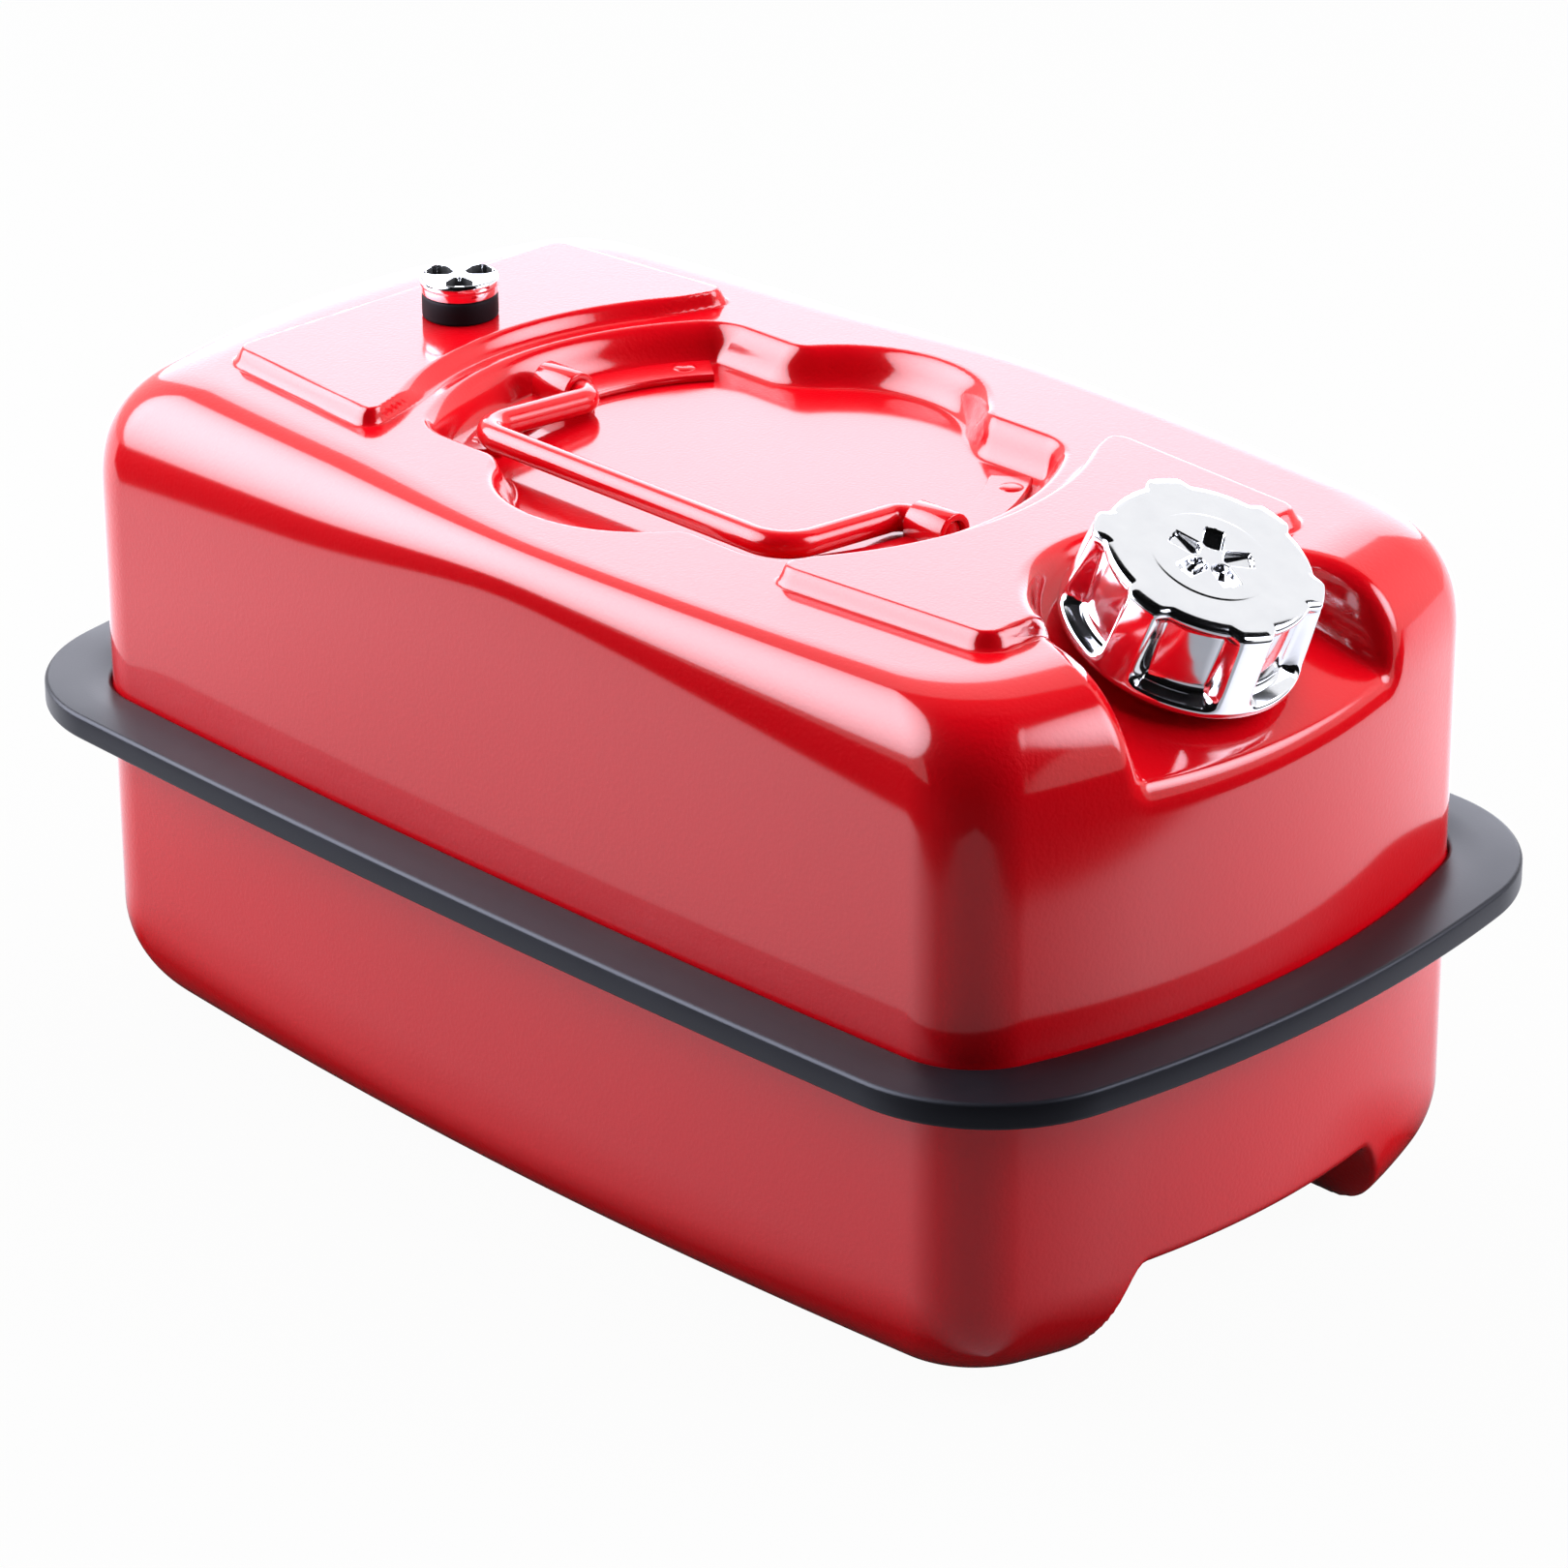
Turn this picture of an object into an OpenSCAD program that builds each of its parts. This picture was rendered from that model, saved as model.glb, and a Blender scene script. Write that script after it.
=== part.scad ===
// Horizontal steel petrol can with a folding bail handle, a screw filler cap and a breather screw.
// Millimetres, +Z up, origin at the middle of the underside, +X toward the filler cap.

/* [Shells] */
// Length of the drawn shells at the seam
shell_length = 350; // [330:1:370]
// Width of the drawn shells at the seam
shell_width = 187.6; // [182:0.2:196]
// Height of the flat top above the underside of the rails
shell_height = 178.5; // [170:0.5:190]
// Sheet thickness of both shells
sheet = 1; // [0.8:0.1:1.4]
// How far the end walls bow out over the full width
end_bow = 19.5; // [15:0.5:24]
// How far the long walls bow out over the full length
side_bow = 4.4; // [3:0.2:6]
// Radius of the upright corners at the seam
corner_radius = 24; // [20:0.5:28]
// Run of the top fillet at the middle of the ends
end_fillet = 27; // [24:0.5:30]
// Run of the top fillet at the middle of the long sides
side_fillet = 10.5; // [9:0.5:14]
// Run of the bottom fillet all round
foot_fillet = 20.5; // [18:0.5:24]

/* [Seam and band] */
// Height of the top face of the rubber band
band_top = 92; // [88:0.5:96]
// Thickness of the rubber band
band_height = 7; // [6:0.2:9]
// How far the band stands out at the middle of the ends
band_width = 16.2; // [14:0.2:20]
// How far the seam flange stands out inside the band
flange_width = 9; // [7:0.5:11]

/* [Handle recess] */
// Place of the recess centre along the can
recess_x = -4.5; // [-8:0.5:0]
// Depth of the recess floor below the flat top
recess_depth = 9.5; // [8.5:0.5:12]
// Radius of the recess floor
recess_radius = 74; // [73.5:0.25:76]
// Half distance between the straight sides at the floor
recess_half = 46; // [45.8:0.2:49]
// Radius of the finger lobes at the floor
lobe_radius = 32; // [28:0.5:34]
// Distance of the finger lobe centres from the middle line
lobe_offset = 33; // [30:0.5:35]
// Run of the recess walls for each millimetre of depth
recess_slope = 0.63; // [0.4:0.01:0.8]

/* [Raised panels] */
// Height of the raised panels above the flat top
panel_height = 4.2; // [3:0.2:5]
// Run of the panel edges over that height
panel_run = 2.2; // [1.8:0.2:4]
// Radius of the hollow edge beside the recess
panel_arc = 85.5; // [84:0.5:90]

/* [Cap pocket] */
// Tilt of the pocket floor and of the cap
pocket_tilt = 23; // [20:0.5:26]
// Distance of the neck axis on the pocket floor from the end of the shells
neck_inset = 35.4; // [34:0.2:37]
// Depth of that point below the flat top
neck_drop = 12.4; // [11:0.2:14]
// Radius of the pocket round the neck, at its floor
pocket_radius = 34.5; // [33.5:0.5:36]
// Angle by which the pocket walls open toward the end
pocket_spread = 14; // [8:1:18]
// Run of the pocket walls for each millimetre of height
pocket_slope = 0.3; // [0.2:0.02:0.45]

/* [Filler neck and cap] */
// Radius of the bore of the filler neck
neck_bore = 14.5; // [13:0.25:15]
// Radius over the thread of the neck
thread_radius = 17; // [16.6:0.1:17.4]
// Height of the neck above the pocket floor
neck_height = 19; // [17:0.5:20]
// Height of the underside of the cap above the pocket floor
cap_gap = 4; // [3.4:0.1:4.6]
// Height of the cap
cap_height = 23.9; // [23:0.1:25]
// Radius of the bottom flange of the cap
cap_flange = 30; // [29:0.25:31]
// Radius of the grip ribs at the top
cap_rib = 28.3; // [27.5:0.1:28.8]
// Radius of the wall between the ribs
cap_wall = 24.6; // [24:0.1:25.4]
// Number of grip ribs
rib_count = 6; // [5:1:7]

/* [Bail handle] */
// Radius of the handle wire
wire_radius = 3.5; // [3.2:0.1:3.7]
// Half distance between the handle legs
leg_half = 55; // [52:0.5:56]
// Length of the legs from the hinge line to the grip
leg_length = 41; // [36:0.5:42]
// Angle of the resting handle above level
rest_tilt = 4; // [4:0.25:6]
// Radius of the bends beside the grip
bend_radius = 9.5; // [8:0.5:12]

/* [Breather] */
// Distance of the breather from the other end of the shells
vent_inset = 64.7; // [61:0.1:69]
// Radius of the breather knob
vent_radius = 10.3; // [9.5:0.1:11]
// Height of the rubber ring under the knob
vent_ring = 5.8; // [5:0.2:7]
// Height of the knob
vent_knob_height = 4.8; // [4.4:0.2:6]

/* [Hidden] */
$fn = 96;
// Segments of each quarter outline: end bow, corner, long side
seg_end = 5;
seg_corner = 8;
seg_side = 7;
// Steps of the fillets from wall to flat
fillet_steps = 8;
eps = 0.01;
half_l = shell_length / 2;
half_w = shell_width / 2;
seam_z = band_top - band_height / 2;
floor_z = shell_height - recess_depth;
panel_top = shell_height + panel_height;
neck_x = half_l - neck_inset;
neck_z = shell_height - neck_drop;
vent_x = vent_inset - half_l;
// Distance from the recess centre to the clipped tips of the panels
panel_tip = 66.5;
// Flat top outline
flat_l = half_l - end_fillet;
flat_w = half_w - side_fillet;
flat_end_bow = end_bow * 0.62;
flat_side_bow = side_bow + 6;
flat_corner = corner_radius + 2;
// Flat underside outline
foot_l = half_l - foot_fillet - 3;
foot_w = half_w - foot_fillet + 1;
foot_end_bow = end_bow * 0.8;
foot_side_bow = side_bow + 3;
foot_corner = corner_radius - 1;
// Band outline
band_l = half_l + band_width;
band_w = half_w + band_width;
band_end_bow = end_bow * 0.83;
band_corner = corner_radius + band_width + 4;
band_edge = 1.2;
// Channel under the can
channel_height = 27.5;
channel_half = 39;
channel_flank = 19;
channel_steps = 10;
// Handle hinge
hinge_z = floor_z + wire_radius + 0.5;
saddle_gap = 0.05;
saddle_wall = 1.8;
saddle_bore = wire_radius + saddle_gap;
saddle_outer = saddle_bore + saddle_wall;
end_bend = 5;
saddle_in = leg_half + end_bend + 0.2;
saddle_out = recess_radius - 1;
wire_out = saddle_out - 1;
strap_in = recess_radius - 12.5;
strap_out = recess_radius - 1.5;
strap_angle = 37;
strap_sheet = 2;
weld_angle = 31;
weld_radius = 3.2;
weld_place = strap_out - weld_radius - 1;
// Filler neck and cap stack, measured along the neck axis from the pocket floor
neck_wall = 1.5;
neck_outer = thread_radius - 1;
neck_depth = 14;
collar_radius = 20.5;
collar_sheet = 1.6;
thread_gap = 0.06;
insert_bore = thread_radius + thread_gap;
insert_outer = 20.5;
insert_low = cap_gap + 0.6;
insert_top = neck_height - 0.3;
gasket_sheet = 2;
gasket_top = neck_height + gasket_sheet;
cap_top = cap_gap + cap_height;
cap_edge = 3.4;
cap_lip = 0.9;
cap_phase = 39;
rib_half = 4.2;
rib_foot = 6;
plate_sheet = 2.6;
star_count = 5;
star_in = 2.6;
star_out = 10.6;
star_half = 2.5;
star_depth = 3;
// Breather stack
boss_radius = 7;
washer_radius = 9;
washer_sheet = 0.4;
boss_depth = 9;
stem_radius = 4;
stem_gap = 0.05;
stem_depth = 15;
ring_bottom = panel_top + washer_sheet;
knob_bottom = ring_bottom + vent_ring;
knob_top = knob_bottom + vent_knob_height;

red = [0.72, 0.02, 0.05];
black = [0.08, 0.08, 0.09];
chrome = [0.86, 0.87, 0.89];

// Outline of the can in plan

// Radius of a bow from its half chord and its rise
function bow_radius(half, rise) = (half * half + rise * rise) / (2 * rise);

// Centre of the corner arc that touches both bows from inside
function corner_centre(ex, sy, r1, r2) =
  let (d = norm([ex, sy]))
  let (u = [-ex / d, sy / d])
  let (t = (r1 * r1 - r2 * r2 + d * d) / (2 * d))
  let (h = sqrt(r1 * r1 - t * t))
  [ex + u[0] * t - u[1] * h, u[1] * t + u[0] * h];

// Points of an arc, the first angle left out when skip is 1
function arc_points(c, r, from, to, n, skip) =
  [for (i = [skip : n]) let (t = from + (to - from) * i / n) [c[0] + r * cos(t), c[1] + r * sin(t)]];

// First quarter of a bowed and rounded rectangle, moved out by k
function quarter(a, b, r, eb, sb, k) =
  let (re = bow_radius(b, eb))
  let (rs = bow_radius(a, sb))
  let (ex = a - re)
  let (sy = b - rs)
  let (c = corner_centre(ex, sy, re - r, rs - r))
  let (t1 = atan2(c[1], c[0] - ex))
  let (t2 = atan2(c[1] - sy, c[0]))
  concat(arc_points([ex, 0], re + k, 0, t1, seg_end, 0),
    arc_points(c, r + k, t1, t2, seg_corner, 1),
    arc_points([0, sy], rs + k, t2, 90, seg_side, 1));

// Whole outline from its first quarter
function outline(q) =
  let (n = len(q) - 1)
  concat(q,
    [for (i = [n - 1 : -1 : 0]) [-q[i][0], q[i][1]]],
    [for (i = [1 : n]) [-q[i][0], -q[i][1]]],
    [for (i = [n - 1 : -1 : 1]) [q[i][0], -q[i][1]]]);

function seam_line(k) = outline(quarter(half_l, half_w, corner_radius, end_bow, side_bow, k));
function flat_line() = outline(quarter(flat_l, flat_w, flat_corner, flat_end_bow, flat_side_bow, 0));
function foot_line() = outline(quarter(foot_l, foot_w, foot_corner, foot_end_bow, foot_side_bow, 0));
function band_line(k) = outline(quarter(band_l, band_w, band_corner, band_end_bow, side_bow, k));

function at_height(line, z) = [for (p = line) [p[0], p[1], z]];

// One ring of a fillet that rolls from the wall outline to the flat outline
function fillet_ring(wall, flat, z, turn, angle) =
  [for (i = [0 : len(wall) - 1])
    let (s = wall[i])
    let (f = flat[i])
    let (d = norm(s - f))
    let (m = s + (f - s) * (1 - cos(angle)))
    [m[0], m[1], z - turn * d * (1 - sin(angle))]];

// Solid through a list of rings with equal counts, lowest ring first
module loft(rings) {
  m = len(rings[0]);
  n = len(rings);
  points = [for (r = rings) for (p = r) p];
  bottom = [[for (i = [0 : m - 1]) i]];
  cap = [[for (i = [m - 1 : -1 : 0]) (n - 1) * m + i]];
  side = [for (j = [0 : n - 2]) for (i = [0 : m - 1])
    let (a = j * m + i)
    let (b = j * m + (i + 1) % m)
    for (f = [[a, a + m, b + m], [a, b + m, b]]) f];
  polyhedron(points = points, faces = concat(bottom, cap, side));
}

// Cone with its small end on a floor; k grows it evenly, as the inside of a sheet
module bowl(r, slope, h, k) {
  low = r - slope * k + k * sqrt(1 + slope * slope);
  translate([0, 0, -k])
    cylinder(r1 = low, r2 = low + slope * (h + k), h = h + k);
}

// Upper shell

module upper_body(k, z0) {
  wall = seam_line(-k);
  flat = flat_line();
  top = shell_height - k;
  loft(concat([at_height(wall, z0)],
    [for (i = [0 : fillet_steps]) fillet_ring(wall, flat, top, 1, 90 * i / fillet_steps)]));
}

module recess(k) {
  h = recess_depth + 8;
  low = recess_half - recess_slope * k + k * sqrt(1 + recess_slope * recess_slope);
  high = low + recess_slope * (h + k);
  translate([recess_x, 0, floor_z]) {
    intersection() {
      bowl(recess_radius, recess_slope, h, k);
      rotate([90, 0, 90])
        linear_extrude(height = 4 * recess_radius, center = true)
          polygon([[-low, -k], [low, -k], [high, h], [-high, h]]);
    }
    for (s = [-1, 1])
      translate([0, s * lobe_offset, 0])
        bowl(lobe_radius, recess_slope, h, k);
  }
}

// Corner of a raised panel: a small cone that starts inside the flat top
module panel_corner(x, y, k) {
  round_top = 4;
  translate([x, y, shell_height - k - 0.5])
    cylinder(r1 = round_top + panel_run - k, r2 = round_top - k * 0.4, h = panel_height + 0.5, $fn = 32);
}

module panel_blank(x0, y0, x1, y1, k) {
  hull()
    for (s = [-1, 1]) {
      panel_corner(x0, s * y0, k);
      panel_corner(x1, s * y1, k);
    }
}

module panels(k) {
  inset = 7.2;
  slope = panel_run / panel_height;
  difference() {
    union() {
      panel_blank(-half_l + 38 + inset, 59.2 - inset, recess_x - panel_tip - inset, 65.4 - inset, k);
      panel_blank(recess_x + panel_tip + inset, 62.6 - inset, half_l - 41 - inset, 57 - inset, k);
    }
    translate([recess_x, 0, shell_height])
      bowl(panel_arc, slope, panel_height + 4, k + 0.6);
  }
}

module at_neck() {
  translate([neck_x, 0, neck_z])
    rotate([0, pocket_tilt, 0])
      children();
}

module pocket(k) {
  reach = 60;
  high = 46;
  at_neck()
    hull() {
      bowl(pocket_radius, pocket_slope, high, k);
      translate([reach, 0, 0])
        bowl(pocket_radius + reach * sin(pocket_spread), pocket_slope, high, k);
    }
}

module upper_form(k, z0) {
  difference() {
    union() {
      upper_body(k, z0);
      panels(k);
    }
    recess(k);
    pocket(k);
  }
}

module upper_shell() {
  color(red)
    difference() {
      union() {
        upper_form(0, seam_z);
        translate([0, 0, seam_z])
          linear_extrude(height = sheet)
            polygon(seam_line(flange_width));
      }
      upper_form(sheet, seam_z - 1);
      at_neck()
        translate([0, 0, -6])
          cylinder(r = neck_outer, h = 12);
      translate([vent_x, 0, panel_top - 6])
        cylinder(r = boss_radius, h = 12);
    }
}

// Lower shell

// Side line of the channel, from its roof down to the rail, grown by k
function channel_side(k) =
  [for (i = [0 : channel_steps])
    let (t = i / channel_steps)
    let (y = channel_half + channel_flank * t)
    let (z = channel_height * (1 + cos(180 * t)) / 2)
    let (dz = -channel_height * PI * sin(180 * t) / (2 * channel_flank))
    let (n = norm([1, dz]))
    [y - k * dz / n, z + k / n]];

module channel(k) {
  side = channel_side(k);
  low = -4;
  last = side[channel_steps];
  line = concat(side, [[last[0], low], [-last[0], low]],
    [for (i = [channel_steps : -1 : 0]) [-side[i][0], side[i][1]]]);
  rotate([90, 0, 90])
    linear_extrude(height = 2 * shell_length, center = true)
      polygon(line);
}

module lower_form(k, z1) {
  wall = seam_line(-k);
  foot = foot_line();
  difference() {
    loft(concat(
      [for (i = [fillet_steps : -1 : 0]) fillet_ring(wall, foot, k, -1, 90 * i / fillet_steps)],
      [at_height(wall, z1)]));
    channel(k);
  }
}

module lower_shell() {
  color(red)
    difference() {
      union() {
        lower_form(0, seam_z);
        translate([0, 0, seam_z - sheet])
          linear_extrude(height = sheet)
            polygon(seam_line(flange_width));
      }
      lower_form(sheet, seam_z + 1);
    }
}

// Rubber band

module bumper_band() {
  low = band_top - band_height;
  color(black)
    difference() {
      loft([at_height(band_line(-band_edge), low),
        at_height(band_line(0), low + band_edge),
        at_height(band_line(0), band_top - band_edge),
        at_height(band_line(-band_edge), band_top)]);
      translate([0, 0, low - 1])
        linear_extrude(height = band_height + 2)
          polygon(seam_line(0));
      translate([0, 0, seam_z - sheet])
        linear_extrude(height = 2 * sheet)
          polygon(seam_line(flange_width));
    }
}

// Handle brackets

// Strap plate with a saddle over the wire end, on the side toward +X of the recess centre
module bracket() {
  color(red)
    difference() {
      union() {
        translate([0, 0, floor_z])
          rotate([0, 0, -strap_angle])
            rotate_extrude(angle = 2 * strap_angle)
              translate([strap_in, 0])
                square([strap_out - strap_in, strap_sheet]);
        translate([saddle_in, 0, hinge_z])
          rotate([0, 90, 0])
            cylinder(r = saddle_outer, h = saddle_out - saddle_in);
        for (s = [-1, 1])
          rotate([0, 0, s * weld_angle])
            translate([weld_place, 0, floor_z + strap_sheet - 0.2])
              cylinder(r1 = weld_radius, r2 = weld_radius - 1, h = 0.9);
      }
      translate([saddle_in - 5, 0, hinge_z])
        rotate([0, 90, 0])
          cylinder(r = saddle_bore, h = saddle_out - saddle_in + 10);
      translate([saddle_in - 15, -saddle_bore, floor_z - 10])
        cube([saddle_out - saddle_in + 30, 2 * saddle_bore, hinge_z - floor_z + 10]);
      translate([0, -saddle_outer - 1, floor_z - 10])
        cube([2 * recess_radius, 2 * saddle_outer + 2, 10]);
    }
}

module bracket_right() {
  translate([recess_x, 0, 0])
    bracket();
}

module bracket_left() {
  translate([recess_x, 0, 0])
    rotate([0, 0, 180])
      bracket();
}

// Bail handle

module rod(from, to) {
  d = to - from;
  translate(from)
    rotate([0, atan2(norm([d[0], d[1]]), d[2]), atan2(d[1], d[0])])
      cylinder(r = wire_radius, h = norm(d));
}

// Quarter bend about a centre in the handle plane, from the first angle
module bend(centre, radius, first) {
  translate([centre[0], centre[1], 0])
    rotate([0, 0, first])
      rotate_extrude(angle = 90)
        translate([radius, 0])
          circle(r = wire_radius);
}

module handle_half() {
  rod([-eps, -leg_length, 0], [leg_half - bend_radius, -leg_length, 0]);
  bend([leg_half - bend_radius, -leg_length + bend_radius], bend_radius, -90);
  rod([leg_half, -leg_length + bend_radius, 0], [leg_half, -end_bend, 0]);
  bend([leg_half + end_bend, -end_bend], end_bend, 90);
  rod([leg_half + end_bend, 0, 0], [wire_out, 0, 0]);
}

module bail_handle() {
  color(red)
    translate([recess_x, 0, hinge_z])
      rotate([-rest_tilt, 0, 0]) {
        handle_half();
        mirror([1, 0, 0])
          handle_half();
      }
}

// Filler neck and cap

module filler_neck() {
  pitch = 4;
  first = 7.6;
  color(red)
    at_neck()
      difference() {
        union() {
          translate([0, 0, -neck_depth])
            cylinder(r = neck_outer, h = neck_depth + neck_height);
          cylinder(r = collar_radius, h = collar_sheet);
          for (i = [0 : 2])
            translate([0, 0, first + i * pitch])
              rotate_extrude()
                polygon([[neck_outer - 0.5, -1.2], [neck_outer, -1.2], [thread_radius, -0.5],
                  [thread_radius, 0.5], [neck_outer, 1.2], [neck_outer - 0.5, 1.2]]);
        }
        translate([0, 0, -neck_depth - 1])
          cylinder(r = neck_bore, h = neck_depth + neck_height + 2);
      }
}

module cap_gasket() {
  color(black)
    at_neck()
      translate([0, 0, neck_height])
        difference() {
          cylinder(r = insert_outer - 0.2, h = gasket_sheet);
          translate([0, 0, -1])
            cylinder(r = neck_bore, h = gasket_sheet + 2);
        }
}

module cap_insert() {
  color(black)
    at_neck()
      translate([0, 0, insert_low])
        difference() {
          cylinder(r = insert_outer, h = insert_top - insert_low);
          translate([0, 0, -1])
            cylinder(r = insert_bore, h = insert_top - insert_low + 2);
        }
}

// Slot of the star whose floor falls toward the middle, cut down from height z
module star_slot(z, inner, outer, half, depth) {
  translate([0, half, z])
    rotate([90, 0, 0])
      linear_extrude(height = 2 * half)
        polygon([[inner, -depth], [inner, 1], [outer, 1], [outer, -0.35 * depth]]);
}

module cap_ribs() {
  for (i = [0 : rib_count - 1])
    rotate([0, 0, cap_phase + i * 360 / rib_count])
      linear_extrude(height = cap_height)
        polygon([[cap_wall - 3, -rib_foot], [cap_flange + 1, -rib_half], [cap_flange + 1, rib_half],
          [cap_wall - 3, rib_foot]]);
}

module cap_shell() {
  color(chrome)
    at_neck()
      difference() {
        union() {
          translate([0, 0, cap_gap]) {
            cylinder(r1 = cap_flange, r2 = cap_flange - 0.2, h = cap_edge - 1.2);
            translate([0, 0, cap_edge - 1.2])
              cylinder(r1 = cap_flange - 0.2, r2 = cap_wall + 0.8, h = 1.2);
            cylinder(r = cap_wall, h = cap_height - 1);
            translate([0, 0, cap_height - plate_sheet])
              cylinder(r = cap_wall + cap_lip, h = plate_sheet - 0.8);
            translate([0, 0, cap_height - 0.8])
              cylinder(r1 = cap_wall + cap_lip, r2 = cap_wall + cap_lip - 1, h = 0.8);
            intersection() {
              union() {
                cylinder(r1 = cap_flange - 0.4, r2 = cap_rib, h = cap_height - 0.8);
                translate([0, 0, cap_height - 0.8])
                  cylinder(r1 = cap_rib, r2 = cap_rib - 1, h = 0.8);
              }
              cap_ribs();
            }
          }
        }
        translate([0, 0, cap_gap - 1])
          cylinder(r = insert_outer, h = gasket_top - cap_gap + 1);
        for (i = [0 : star_count - 1])
          rotate([0, 0, 90 + cap_phase + i * 360 / star_count])
            star_slot(cap_top, star_in, star_out, star_half, star_depth);
      }
}

// Breather

module vent_boss() {
  color(chrome)
    translate([vent_x, 0, 0])
      difference() {
        union() {
          translate([0, 0, panel_top - boss_depth])
            cylinder(r = boss_radius, h = boss_depth + washer_sheet);
          translate([0, 0, panel_top])
            cylinder(r = washer_radius, h = washer_sheet);
        }
        translate([0, 0, panel_top - boss_depth - 1])
          cylinder(r = stem_radius + stem_gap, h = boss_depth + 3);
      }
}

module vent_gasket() {
  color(black)
    translate([vent_x, 0, ring_bottom])
      difference() {
        cylinder(r = vent_radius - 0.3, h = vent_ring);
        translate([0, 0, -1])
          cylinder(r = stem_radius + stem_gap, h = vent_ring + 2);
      }
}

module vent_knob() {
  color(chrome)
    translate([vent_x, 0, 0])
      difference() {
        union() {
          translate([0, 0, knob_bottom])
            cylinder(r = vent_radius, h = vent_knob_height - 0.8);
          translate([0, 0, knob_top - 0.8])
            cylinder(r1 = vent_radius, r2 = vent_radius - 0.8, h = 0.8);
        }
        for (i = [0 : star_count - 1])
          rotate([0, 0, -45 + i * 360 / star_count])
            star_slot(knob_top, 2.4, 8.6, 1.7, 2);
      }
}

module vent_stem() {
  color(chrome)
    translate([vent_x, 0, knob_bottom - vent_ring - stem_depth])
      cylinder(r = stem_radius, h = stem_depth + vent_ring);
}

upper_shell();
lower_shell();
bumper_band();
bracket_left();
bracket_right();
filler_neck();
vent_boss();
bail_handle();
cap_gasket();
cap_shell();
cap_insert();
vent_gasket();
vent_knob();
vent_stem();
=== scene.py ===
"""Steel petrol can: pressed shells, rubber band, bail handle, filler cap and breather."""

import logging
import math
from dataclasses import dataclass
from enum import Enum
from typing import Any, Callable, Iterable, Sequence

import bmesh
import bpy
import numpy as np
from mathutils import Matrix, Vector


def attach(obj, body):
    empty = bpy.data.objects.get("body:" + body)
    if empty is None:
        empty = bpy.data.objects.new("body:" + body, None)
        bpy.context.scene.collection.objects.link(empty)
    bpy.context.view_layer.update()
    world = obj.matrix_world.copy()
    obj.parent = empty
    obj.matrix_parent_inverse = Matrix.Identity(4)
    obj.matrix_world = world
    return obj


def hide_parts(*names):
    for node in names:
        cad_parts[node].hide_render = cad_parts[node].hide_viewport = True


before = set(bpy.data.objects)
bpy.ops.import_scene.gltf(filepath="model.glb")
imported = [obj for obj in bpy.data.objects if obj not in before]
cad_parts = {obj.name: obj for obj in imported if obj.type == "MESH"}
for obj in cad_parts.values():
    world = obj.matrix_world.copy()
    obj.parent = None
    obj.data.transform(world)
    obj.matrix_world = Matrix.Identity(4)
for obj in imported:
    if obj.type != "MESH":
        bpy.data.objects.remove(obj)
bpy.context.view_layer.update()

LOG = logging.getLogger("petrol_can")
MM = 0.001
FULL_TURN = 2.0 * math.pi
BEND, RING, RIM = "bend", "ring", "rim"
Array = np.ndarray
Mesh = bmesh.types.BMesh
Face = bmesh.types.BMFace
Material = bpy.types.Material
Piece = bpy.types.Object
Pair = tuple[float, float]
Triple = tuple[float, float, float]


class Body(Enum):
    """Bodies of the frame that pieces ride on."""

    CAN = "can"
    HANDLE = "handle"
    CAP = "cap"
    CAP_SEAL = "cap_seal"
    VENT = "vent"
    VENT_SEAL = "vent_seal"


class Slot(Enum):
    """Material slots of the record."""

    RED_PAINT = "red_paint"
    BLACK_RUBBER = "black_rubber"
    SEAL_RUBBER = "seal_rubber"
    BRIGHT_CHROME = "bright_chrome"
    PLATED_STEEL = "plated_steel"
    BLACK_PLASTIC = "black_plastic"


class Side(Enum):
    """Ends of the can along X."""

    LEFT = -1
    RIGHT = 1


# Shader helpers


class Sock:
    """A shader socket that takes part in Python sums and products."""

    def __init__(self, tree: "Shader", socket: bpy.types.NodeSocket) -> None:
        """Wrap a socket of a tree."""
        self.tree = tree
        self.socket = socket

    def _math(self, operation: str, first: Any, second: Any) -> "Sock":
        """Add one Math node on two values or sockets."""
        return self.tree.node("ShaderNodeMath", {"operation": operation}, {0: first, 1: second})

    def __add__(self, other: Any) -> "Sock":
        """Sum."""
        return self._math("ADD", self, other)

    def __radd__(self, other: Any) -> "Sock":
        """Reflected sum."""
        return self._math("ADD", other, self)

    def __sub__(self, other: Any) -> "Sock":
        """Difference."""
        return self._math("SUBTRACT", self, other)

    def __rsub__(self, other: Any) -> "Sock":
        """Reflected difference."""
        return self._math("SUBTRACT", other, self)

    def __mul__(self, other: Any) -> "Sock":
        """Product."""
        return self._math("MULTIPLY", self, other)

    def __rmul__(self, other: Any) -> "Sock":
        """Reflected product."""
        return self._math("MULTIPLY", other, self)


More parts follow.
